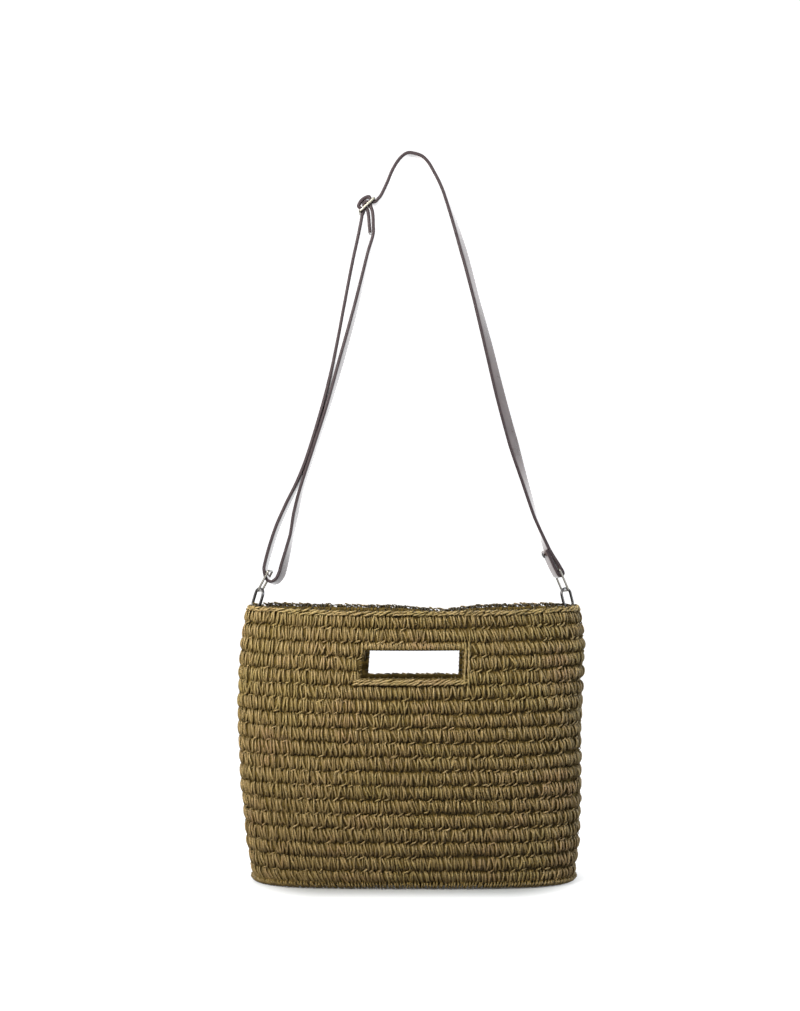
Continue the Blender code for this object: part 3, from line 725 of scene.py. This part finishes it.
def on_base(spots):
    """Places under the bag for spots in metres round it, inward from its foot and down from it."""
    share = (spots[..., 0] / GIRTH) % 1.0
    turn = np.interp(share * SHARES, np.arange(SHARES + 1), EVEN_TURNS[0])
    half_length = BASKET_LENGTH / 2 * section_value("length", 0.0) - spots[..., 1]
    half_depth = BASKET_DEPTH / 2 * section_value("depth", 0.0) - spots[..., 1]
    x, y = oval(turn, half_length, half_depth, section_value("squareness", 0.0))
    return np.stack((x + BASKET_LENGTH * section_value("shift", 0.0), y, FLOOR + BASE_RISE - spots[..., 2]),
                    axis=-1)


def make_base():
    pitch = BASKET_DEPTH / 2 * section_value("depth", 0.0) / len(BASE_STRANDS)
    ovals = []
    for index, count in enumerate(BASE_STRANDS):
        around = spread_round(count, 0.15)
        middle = (index + 0.5) * pitch
        lean = np.where(np.arange(count) % 2 == 0, 0.6, -0.6) * MM + scatter(count, 0.5 * MM)
        ovals.append(controls_at(BASE_STRAND, lambda s, down: (around + lean * s, middle + pitch / 2 * s,
                                                               down * MM)))
    make_strands("straw_base", np.concatenate(ovals), BASE_RADIUS, surface=on_base)


def make_foot():
    """The strands that turn from the wall under the bag, darkening with painted shade as they go under."""
    count = FOOT_STRANDS
    around = spread_round(count, 0.15)
    lean = scatter(count, 0.6 * MM)
    controls = controls_at(FOOT_STRAND, lambda s, up, out: (around + lean * s, up * MM, out * MM))
    make_strands("straw_foot", controls, FOOT_RADIUS + scatter(count, 0.15 * MM), flat=0.6,
                 across=(1.0, 0.0, 0.0), sunk=np.linspace(0.7, 1.7, STRAND_STEPS + 1))


make_base()
make_foot()


# The shoulder strap: one long strip of smooth dark brown leather with rounded, painted edges. Its
# sewn end passes over the slider's rod, it runs through the left link, back up through the slider,
# over the top and down to the right link, where its other end is folded back and held by a stud.
STRAP_WIDTH = 15 * MM
STRAP_THICKNESS = 2.9 * MM
STRAP_BEND = 11 * MM
STRAP_FULLNESS = 0.3 * MM
STRAP_SIDES = 28
STRAP_STEPS = 5
FIT_GAP = 0.35 * MM
LINK_PLAY = 1.0 * MM
LOWER_LINK_LENGTH = 23 * MM
LOWER_LINK_WIDTH = 14 * MM
LOWER_LINK_BAND = 3.2 * MM
LOWER_LINK_THICKNESS = 1.5 * MM
UPPER_LINK_LENGTH = 24 * MM
UPPER_LINK_WIRE = 1.7 * MM
UPPER_LINK_CORNER = 2 * MM
UPPER_LINK_SIDE_GAP = 0.8 * MM
LINK_HOLE_UP = 263.5 * MM
WALL = 5 * MM
# Angle round the rim, then the lean and turn of the lower and of the upper link, in degrees
LINKS = {"left": (164.5, 16.5, -50.0, 28.0, -8.5), "right": (18.0, 14.0, 40.0, 23.0, 15.0)}
SLIDER_ROD = 2.8 * MM
SLIDER_END_BAR = 2.2 * MM
SLIDER_ANGLE = 42.9
SLIDER_PLACE = Vector((-43.7, 0.0, -50.0)) * MM
DEPTHWISE = Vector((0, 1, 0))
# Stretches of strap: shares of the way along, bow as a share of the way, and turn in degrees
RIGHT_STRETCH = (
    (0.020, 0.0255, 5), (0.060, 0.0380, 8), (0.115, 0.0443, 10), (0.257, 0.0420, 25),
    (0.377, 0.0335, 23), (0.497, 0.0240, 33), (0.616, 0.0132, 38), (0.735, 0.0055, 40),
    (0.826, 0.0018, 25), (0.917, -0.0011, 14),
)
APEX_TO_SLIDER = ((0.083, -0.0933, 6), (0.250, -0.1300, 6), (0.480, -0.1120, 5), (0.734, -0.0506, 3))
LEFT_STRETCH = (
    (0.050, 0.0040, 0), (0.110, 0.0070, 2), (0.231, 0.0160, 7), (0.334, 0.0270, 2),
    (0.456, 0.0385, -9), (0.580, 0.0400, -8), (0.700, 0.0360, -6), (0.770, 0.0288, -8),
    (0.838, 0.0165, -9), (0.920, 0.0060, -9),
)
RETURN_STRETCH = (
    (0.070, 0.0035, 6), (0.135, 0.0085, 12), (0.205, 0.0110, 7), (0.331, 0.0053, 6), (0.473, -0.0017, 8),
    (0.613, -0.0040, 13), (0.762, -0.0045, 10), (0.870, -0.0020, 6), (0.950, 0.0005, 3),
)
# The bend at the left link, sideways and up from its bar in bends of the strap, and turn in degrees
LEFT_LOOP_FOOT = (-0.40, 1.23)
RETURN_LOOP_FOOT = (1.43, 1.23)
LOOP_MIDDLE = (0.40, 0.40)
LEFT_LOOP = (
    (1.19, 0.51, 14), (0.96, -0.30, 16), (0.61, -0.84, 14), (0.16, -1.01, 8), (-0.20, -0.79, 2),
    (-0.39, -0.34, 0), (-0.45, 0.42, 0),
)
# The arch over the slider: side of the rod, then sideways and up in bends of the strap
ARCH = (
    (-1, 0.0, 0.0), (-1, -0.02, 0.22), (-1, -0.06, 0.42), (0, -0.34, 0.59), (0, 0.0, 0.64),
    (0, 0.34, 0.59), (1, 0.05, 0.42), (1, 0.02, 0.22), (1, 0.0, 0.0),
)
ENTRY_DROP = (-0.10, -0.62)
EXIT_BEND = ((0.25, -0.26), (0.62, -0.22))
END_BAR_WRAP = 0.72
END_BAR_CORNER = 1.3
# The sewn end: shares of its length sideways and up from the slider, and turns round the rod
SEWN_TAB = 28 * MM
TAB_PATH = ((0.098, -0.957), (0.096, -0.880), (0.076, -0.668), (0.057, -0.404), (0.014, -0.157))
RETURN_PATH = ((0.139, -0.054), (0.200, -0.264), (0.221, -0.661))
RETURN_TOP = (0.218, -1.021)
ROD_WRAP = (180, 130, 90, 50, 0)
# The eye at the right link
EYE_LENGTH = 19 * MM
EYE_TAB = 3.8 * MM
EYE_DROP = 4 * MM
EYE_LEAN = 28.6
EYE_SIDE = ((0.7, 0.2), (0.3, 0.8))
EYE_FOLD = (0, -45, -90, -135, -180)


def leaning(end, degrees_inboard):
    lean = math.radians(degrees_inboard)
    inboard = 1 if end == "left" else -1
    return Vector((inboard * math.sin(lean), 0.0, math.cos(lean)))


def link_frame(up, turn):
    """The crosswise and facing directions of a link whose length runs along up."""
    across = Vector((up.z, 0.0, -up.x))
    turning = Matrix.Rotation(math.radians(turn), 3, up)
    return turning @ across, turning @ DEPTHWISE


def link_places(end):
    around, lower_lean, lower_turn, upper_lean, upper_turn = LINKS[end]
    surface, outward = wall_at_turn(np.array(math.radians(around)), np.array(LINK_HOLE_UP / BASKET_HEIGHT))
    hole = Vector(surface) - Vector(outward) * (WALL / 2)
    lower_up = leaning(end, lower_lean)
    lower_top = hole + lower_up * (LOWER_LINK_LENGTH - LOWER_LINK_THICKNESS)
    upper_up = leaning(end, upper_lean)
    links_apart = (LOWER_LINK_THICKNESS + UPPER_LINK_WIRE) / 2 + LINK_PLAY
    upper_bottom = lower_top - (lower_up + upper_up).normalized() * links_apart
    upper_top = upper_bottom + upper_up * (UPPER_LINK_LENGTH - UPPER_LINK_WIRE)
    return {
        "hole": hole, "lower_up": lower_up, "lower_turn": lower_turn, "upper_up": upper_up,
        "upper_turn": upper_turn, "upper_bottom": upper_bottom, "upper_top": upper_top,
    }


def beside_and_up(start, shares, unit):
    return start + Vector((shares[0], 0.0, shares[1])) * unit


def turned_across(across, outward, degrees):
    return across * math.cos(math.radians(degrees)) + outward * math.sin(math.radians(degrees))


def stretch(start, end, rows, backwards=False):
    """Stations of a hanging stretch: places and width directions from shares of its chord."""
    chord = end - start
    beside = Vector((-chord.z, 0.0, chord.x))
    spots = [(start + chord * along + beside * bow, turn) for along, bow, turn in rows]
    if backwards:
        spots.reverse()
        chord = -chord
    travel = chord.normalized()
    left = Vector((-travel.z, 0.0, travel.x))
    return [(place, turned_across(DEPTHWISE, left, turn)) for place, turn in spots]


def slider_point(along, above):
    lean = math.radians(SLIDER_ANGLE)
    along_slider = Vector((math.cos(lean), 0.0, math.sin(lean)))
    above_slider = Vector((-math.sin(lean), 0.0, math.cos(lean)))
    return SLIDER_PLACE + along_slider * along + above_slider * above


def slider_sizes():
    """How far from the slider's middle its inner and outer layers of strap and its end bars are."""
    inner = SLIDER_ROD / 2 + FIT_GAP + STRAP_THICKNESS / 2
    outer = inner + STRAP_THICKNESS + FIT_GAP
    end_bar = outer + STRAP_THICKNESS / 2 + FIT_GAP + SLIDER_END_BAR / 2
    return inner, outer, end_bar


def sewn_end_route():
    inner = slider_sizes()[0]
    places = [beside_and_up(SLIDER_PLACE, shares, SEWN_TAB) for shares in TAB_PATH]
    for degrees in ROD_WRAP:
        turn = math.radians(degrees)
        places.append(slider_point(inner * math.cos(turn), inner * math.sin(turn)))
    places += [beside_and_up(SLIDER_PLACE, shares, SEWN_TAB) for shares in RETURN_PATH]
    return [(place, DEPTHWISE) for place in places]


def left_loop_route(link):
    bar = link["upper_top"]
    bar_direction = link_frame(link["upper_up"], link["upper_turn"])[1]
    middle = beside_and_up(bar, LOOP_MIDDLE, STRAP_BEND)
    route = []
    for rightward, up, turn in LEFT_LOOP:
        place = beside_and_up(bar, (rightward, up), STRAP_BEND)
        route.append((place, turned_across(bar_direction, (place - middle).normalized(), turn)))
    return route


def slider_route(bar_seat):
    """Up through the slider, in an arch over the sewn end, and out under the far bar."""
    outer, end_bar = slider_sizes()[1:]
    near_bar = end_bar - END_BAR_WRAP * bar_seat
    places = [slider_point(-end_bar, -bar_seat), slider_point(-near_bar, -END_BAR_WRAP * bar_seat)]
    for seats, beside, above in ARCH:
        places.append(slider_point(seats * outer + beside * STRAP_BEND, above * STRAP_BEND))
    places += [slider_point(near_bar, -END_BAR_WRAP * bar_seat), slider_point(end_bar, -bar_seat)]
    for beside, above in EXIT_BEND:
        places.append(slider_point(end_bar + beside * STRAP_BEND, above * STRAP_BEND))
    return [(place, DEPTHWISE) for place in places]


def eye_route(link):
    """The eye round the right link's top bar, with the stud's centre, axis and upward direction."""
    bar = link["upper_top"]
    up = leaning("right", EYE_LEAN)
    across, facing = link_frame(up, link["upper_turn"])
    closed = (STRAP_THICKNESS + FIT_GAP) / 2
    seat = (UPPER_LINK_WIRE + STRAP_THICKNESS) / 2 + FIT_GAP
    side = [(closed, EYE_LENGTH + EYE_TAB), (closed, EYE_LENGTH)]
    side += [(closed + (seat - closed) * open_share, EYE_LENGTH * share) for share, open_share in EYE_SIDE]
    fold = [(seat * math.cos(math.radians(turn)), seat * math.sin(math.radians(turn)) - EYE_DROP)
            for turn in EYE_FOLD]
    path = side + [(seat, 0.0)] + fold + [(-seat, 0.0)]
    path += [(-beside, height) for beside, height in reversed(side)]
    route = [(bar + across * beside + up * height, facing) for beside, height in path]
    return route, (bar + up * EYE_LENGTH, -across, up)


def strap_route(left, right):
    """Stations along the strap, from its sewn end to the end under the stud."""
    bar_seat = SLIDER_END_BAR / 2 * END_BAR_CORNER + FIT_GAP + STRAP_THICKNESS / 2
    return_top = beside_and_up(SLIDER_PLACE, RETURN_TOP, SEWN_TAB)
    return_foot = beside_and_up(left["upper_top"], RETURN_LOOP_FOOT, STRAP_BEND)
    left_foot = beside_and_up(left["upper_top"], LEFT_LOOP_FOOT, STRAP_BEND)
    left_top = beside_and_up(slider_point(-slider_sizes()[2], -bar_seat), ENTRY_DROP, STRAP_BEND)
    apex = Vector((0.0, 0.0, STRAP_THICKNESS / 2))
    over_slider = slider_route(bar_seat)
    eye, rivet = eye_route(right)
    route = sewn_end_route()
    route.append((return_top, DEPTHWISE))
    route += stretch(return_foot, return_top, RETURN_STRETCH, backwards=True)
    route += left_loop_route(left)
    route += stretch(left_top, left_foot, LEFT_STRETCH, backwards=True)
    route.append((left_top, DEPTHWISE))
    route += over_slider
    route += stretch(apex, over_slider[-1][0], APEX_TO_SLIDER, backwards=True)
    route.append((apex, DEPTHWISE))
    route += stretch(apex, eye[0][0], RIGHT_STRETCH)
    route += eye
    return route, rivet


def smooth_stations(route, steps):
    """More stations on a smooth curve through the route's own."""
    places, widths = [], []
    for i in range(len(route) - 1):
        before, start = route[max(i - 1, 0)][0], route[i]
        end, after = route[i + 1], route[min(i + 2, len(route) - 1)][0]
        reach = (end[0] - start[0]).length
        leave = (end[0] - before).normalized() * reach
        arrive = (after - start[0]).normalized() * reach
        for step in range(steps):
            t = step / steps
            places.append((2 * t ** 3 - 3 * t ** 2 + 1) * start[0] + (t ** 3 - 2 * t ** 2 + t) * leave
                          + (3 * t ** 2 - 2 * t ** 3) * end[0] + (t ** 3 - t ** 2) * arrive)
            widths.append(start[1].lerp(end[1], t))
    places.append(route[-1][0])
    widths.append(route[-1][1])
    return np.array([p[:] for p in places]), np.array([w[:] for w in widths])


def strap_frames(places, widths):
    """The width and face directions at each station."""
    travel = np.gradient(places, axis=0)
    travel /= np.linalg.norm(travel, axis=1, keepdims=True)
    widths = widths - travel * np.sum(widths * travel, axis=1, keepdims=True)
    widths /= np.linalg.norm(widths, axis=1, keepdims=True)
    return widths, np.cross(travel, widths)


def leather():
    """Smooth dark leather with a soft sheen on its faces, a fine grain and nearly black edges."""
    finish = Finish("strap_leather", Specular_IOR_Level=0.35, Coat_Roughness=0.1, Coat_IOR=1.6,
                    Sheen_Weight=0.5, Sheen_Tint=(1.0, 0.86, 0.80, 1.0), Sheen_Roughness=0.25)
    painted = finish.between(finish.attribute("edge"), 0.82, 0.95)
    clouds = finish.between(finish.noise(60.0, 3.0), 0.3, 0.7)
    grain = finish.node("ShaderNodeTexVoronoi", {"feature": "DISTANCE_TO_EDGE"},
                        {"Vector": finish.place(), "Scale": 1700.0})
    face = finish.mix(clouds, (0.120, 0.076, 0.070), (0.172, 0.115, 0.106))
    finish.use(Base_Color=finish.mix(painted, face, (0.032, 0.019, 0.022)),
               Roughness=clouds * 0.1 + painted * 0.3 + 0.26, Coat_Weight=1.0 - painted)
    finish.bump(finish.between(grain, 0.0, 0.12), 0.04 * MM, 0.4)
    return finish.material


def make_strap(route):
    places, widths = smooth_stations(route, STRAP_STEPS)
    widths, faces = strap_frames(places, widths)
    steps = len(places) - 1
    mesh = strand_blank(STRAP_SIDES, steps)
    station, angle = rings_of(mesh, steps)
    across = np.sign(np.cos(angle)) * np.abs(np.cos(angle)) ** 0.4
    through = np.sign(np.sin(angle)) * np.abs(np.sin(angle)) ** 0.3
    half_thick = STRAP_THICKNESS / 2 + STRAP_FULLNESS
    shape_mesh(mesh, places[station] + widths[station] * (across * STRAP_WIDTH / 2)[:, None]
               + faces[station] * (through * half_thick)[:, None], edge=np.abs(across))
    finish_piece(put("shoulder_strap", mesh), leather(), "strap_leather", "strap")


left_link, right_link = link_places("left"), link_places("right")
strap_line, stud_place = strap_route(left_link, right_link)
make_strap(strap_line)


# The links: at each end a dark flat-wire oval through the rim, and a pale round-wire link in it that
# holds the strap. Wire bent to shape and closed.
LOWER_LINK_WIRE_SEEN = 1.9 * MM
UPPER_LINK_WIRE_SEEN = 2.2 * MM
CORNER_STEPS = 12
SAME_PLACE = 0.05 * MM


def metal(name, colour, roughness):
    """Polished plating with faint rubbing marks."""
    finish = Finish(name, Metallic=1.0)
    rubbed = finish.noise(700.0, 4.0)
    finish.use(Base_Color=finish.mix(finish.between(rubbed, 0.35, 0.8), colour, [c * 0.8 for c in colour]),
               Roughness=finish.between(rubbed, 0.3, 0.7, roughness * 0.8, roughness * 1.25))
    finish.bump(rubbed, 0.04 * MM, 0.3)
    return finish.material


def rounded_rectangle(half_across, half_up, corner):
    """Points round a rectangle with round corners, none of them twice."""
    points = []
    for quarter in range(4):
        middle = math.pi / 2 * (quarter + 0.5)
        x = math.copysign(half_across - corner, math.cos(middle))
        y = math.copysign(half_up - corner, math.sin(middle))
        for step in range(CORNER_STEPS + 1):
            turn = math.pi / 2 * (quarter + step / CORNER_STEPS)
            point = (x + corner * math.cos(turn), y + corner * math.sin(turn))
            if not points or math.dist(points[-1], point) > SAME_PLACE:
                points.append(point)
    if math.dist(points[0], points[-1]) < SAME_PLACE:
        points.pop()
    return points


def bent_wire(name, outline, thickness, placing, band=0.0, rods=()):
    """A closed link of wire along an outline, as thick as asked and as wide as its band."""
    curve = bpy.data.curves.new(name, "CURVE")
    curve.dimensions, curve.fill_mode = "2D", "NONE"
    curve.bevel_depth, curve.bevel_resolution = thickness / 2, 4
    curve.extrude = max((band - thickness) / 2, 0.0)
    for points in (outline, *rods):
        spline = curve.splines.new("POLY")
        spline.points.add(len(points) - 1)
        for point, (x, y) in zip(spline.points, points):
            point.co = (x, y, 0.0, 1.0)
        spline.use_cyclic_u = points is outline
    bm = bmesh.new()
    bm.from_mesh(mesh_of(put(name, curve)))
    bmesh.ops.remove_doubles(bm, verts=bm.verts, dist=0.005 * MM)
    bmesh.ops.transform(bm, matrix=placing, verts=bm.verts)
    return piece_from(name, bm)


def placed(centre, across, up):
    return Matrix.LocRotScale(centre, Matrix((across, up, across.cross(up))).transposed(), None)


def make_links(end, places):
    across = link_frame(places["lower_up"], places["lower_turn"])[0]
    half_up = (LOWER_LINK_LENGTH - LOWER_LINK_THICKNESS) / 2
    half_across = (LOWER_LINK_WIDTH - LOWER_LINK_THICKNESS) / 2
    lower = bent_wire(f"link_{end}_lower", rounded_rectangle(half_across, half_up, half_across - 0.01 * MM),
                      LOWER_LINK_WIRE_SEEN, band=LOWER_LINK_BAND,
                      placing=placed(places["hole"] + places["lower_up"] * half_up, across,
                                     places["lower_up"]))
    finish_piece(lower, DARK_NICKEL, "dark_nickel", f"ring_{end}_lower")
    across = link_frame(places["upper_up"], places["upper_turn"] + 90)[0]
    half_up = (UPPER_LINK_LENGTH - UPPER_LINK_WIRE) / 2
    half_across = STRAP_WIDTH / 2 + UPPER_LINK_SIDE_GAP + UPPER_LINK_WIRE / 2
    upper = bent_wire(f"link_{end}_upper", rounded_rectangle(half_across, half_up, UPPER_LINK_CORNER),
                      UPPER_LINK_WIRE_SEEN,
                      placing=placed((places["upper_bottom"] + places["upper_top"]) / 2, across,
                                     places["upper_up"]))
    finish_piece(upper, PALE_NICKEL, "pale_nickel", f"ring_{end}_upper")


DARK_NICKEL = metal("dark_nickel", (0.11, 0.105, 0.105), 0.3)
PALE_NICKEL = metal("pale_nickel", (0.20, 0.188, 0.165), 0.28)
make_links("left", left_link)
make_links("right", right_link)


# The slider: a pale gold frame with a rod across its middle, cast in one and polished.
SLIDER_WIRE = 2.7 * MM
SLIDER_HALF_ACROSS = 8.9 * MM
SLIDER_CORNER = 1.6 * MM


def make_slider():
    lean = math.radians(SLIDER_ANGLE)
    outline = rounded_rectangle(slider_sizes()[2], SLIDER_HALF_ACROSS, SLIDER_CORNER)
    rod = ((0.0, -SLIDER_HALF_ACROSS), (0.0, SLIDER_HALF_ACROSS))
    placing = placed(SLIDER_PLACE, Vector((math.cos(lean), 0.0, math.sin(lean))), DEPTHWISE)
    slider = bent_wire("strap_slider", outline, SLIDER_WIRE, placing, rods=(rod,))
    finish_piece(slider, metal("pale_gold", (0.37, 0.345, 0.28), 0.38), "pale_gold", "slider")


make_slider()


# The stud: a turned dark metal post with a domed head in front of the strap and a flat back. Its
# profile is given along the post and out from its middle, in millimetres.
STUD_PROFILE = ((-4.2, 0.0), (-4.2, 1.6), (-3.85, 2.3), (-3.45, 2.3), (-3.45, 1.3), (4.68, 1.3),
                (4.68, 2.7), (5.3, 2.7), (5.65, 2.2), (5.85, 1.2), (5.9, 0.0))


def make_stud():
    centre, axis, up = stud_place
    bm = bmesh.new()
    corners = [bm.verts.new((radius * MM, 0.0, along * MM)) for along, radius in STUD_PROFILE]
    edges = [bm.edges.new(pair) for pair in zip(corners, corners[1:])]
    bmesh.ops.spin(bm, geom=corners + edges, cent=(0, 0, 0), axis=(0, 0, 1), angle=2 * math.pi, steps=32,
                   use_merge=True)
    bmesh.ops.remove_doubles(bm, verts=bm.verts, dist=0.005 * MM)
    bmesh.ops.transform(bm, matrix=placed(centre, up, axis.cross(up)), verts=bm.verts)
    finish_piece(piece_from("strap_stud", bm), DARK_NICKEL, "dark_nickel", "strap_rivet")


make_stud()


# The studio: a pale floor with a painted soft shadow at the bag's foot, a pale backdrop, soft light
# from behind and above, a large soft lamp at the upper left in front, and the camera level with the
# bag's middle.
# Where the painted floor shadow lies: round a block under the bag's foot, fading out between two distances
FOOT_MIDDLE = (2.4 * MM, 0.0, FLOOR)
FOOT_BLOCK = (82 * MM, 5 * MM, 0.0)
SHADOW_FROM, SHADOW_TO = 42 * MM, 96 * MM
SKY_BRIGHTEST = (0.0, 0.92, 0.37)
WARM, COOL = (1.0, 0.97, 0.90), (0.80, 0.91, 1.0)
# Place, aim, size, power and colour
LAMPS = {
    "key": ((-0.50, -0.55, 0.10), (-0.25, 0.0, -0.36), 0.45, 12.8, WARM),
    "top": ((-0.2, -0.3, 1.2), (0.0, 0.0, -0.5), 0.8, 9.0, COOL),
    "right": ((0.90, -0.03, -0.34), (0.17, 0.0, -0.50), 0.5, 4.0, COOL),
}
CAMERA_PLACE = (-0.0113, -1.5, -0.345)
CAMERA_ANGLE = 36.75


def paint_shadow_near_foot(finish, albedo):
    """A painted soft shadow on the floor where the bag stands close to it: less glow and a darker floor."""
    place = finish.vector("SUBTRACT", finish.place(), FOOT_MIDDLE)
    past = finish.vector("SUBTRACT", finish.vector("ABSOLUTE", place), FOOT_BLOCK)
    away = finish.vector("LENGTH", finish.vector("MAXIMUM", past), output="Value")
    clear = finish.between(away, SHADOW_FROM, SHADOW_TO)
    finish.use(Emission_Color=finish.mix(clear, (0.05, 0.05, 0.05), (1.0, 1.0, 1.0)),
               Base_Color=finish.mix(clear, (0.35, 0.35, 0.345), (albedo, albedo, albedo)))


def make_surfaces():
    """The floor and backdrop that the camera sees, and a card that only polished parts mirror."""
    upright = Matrix.Rotation(math.pi / 2, 4, "X")
    surfaces = (("floor", Matrix.Translation((0.0, 1.0, FLOOR - 0.1 * MM)), 0.80, 0.35, True, False),
                ("backdrop", Matrix.Translation((0.0, 3.0, 0.0)) @ upright, 1.0, 0.9, True, False),
                ("front_card", Matrix.Translation((0.0, -2.6, 0.0)) @ upright, 0.75, 0.9, False, True))
    for name, placing, glow, albedo, seen, mirrored in surfaces:
        bm = bmesh.new()
        bmesh.ops.create_grid(bm, x_segments=1, y_segments=1, size=5.0, matrix=placing)
        surface = piece_from(name, bm)
        finish = Finish(name, Roughness=1.0, Specular_IOR_Level=0.0, Emission_Strength=glow,
                        Emission_Color=(1.0, 1.0, 1.0, 1.0), Base_Color=(albedo, albedo, albedo, 1.0))
        if name == "floor":
            paint_shadow_near_foot(finish, albedo)
        surface.data.materials.append(finish.material)
        surface.visible_diffuse = surface.visible_shadow = False
        surface.visible_camera, surface.visible_glossy = seen, mirrored


def make_lights():
    world = bpy.data.worlds.new("studio")
    world.use_nodes = True
    sky, background = Nodes(world.node_tree), world.node_tree.nodes["Background"]
    direction = sky.node("ShaderNodeTexCoord", {}, {}, "Generated")
    facing = sky.vector("DOT_PRODUCT", direction, SKY_BRIGHTEST, "Value")
    strength = sky.node("ShaderNodeMapRange", {}, {0: facing, 1: -0.15, 2: 0.9, 3: 0.04, 4: 1.7})
    sky.tree.links.new(strength.socket, background.inputs["Strength"])
    background.inputs["Color"].default_value = (0.97, 0.98, 1.0, 1.0)
    bpy.context.scene.world = world
    for name, (place, aim, size, power, colour) in LAMPS.items():
        lamp = bpy.data.lights.new(name, "AREA")
        lamp.size, lamp.energy, lamp.color = size, power, colour
        holder = put(name, lamp)
        holder.location = place
        holder.rotation_euler = (Vector(aim) - Vector(place)).to_track_quat("-Z", "Y").to_euler()


def make_camera():
    camera = bpy.data.cameras.new("camera")
    camera.sensor_fit, camera.sensor_height = "VERTICAL", 24.0
    camera.lens = camera.sensor_height / 2 / math.tan(math.radians(CAMERA_ANGLE / 2))
    holder = put("camera", camera)
    holder.location = CAMERA_PLACE
    holder.rotation_euler = (math.pi / 2, 0.0, 0.0)
    bpy.context.scene.camera = holder
    bpy.context.scene.view_settings.view_transform = "Standard"


make_surfaces()
make_lights()
make_camera()
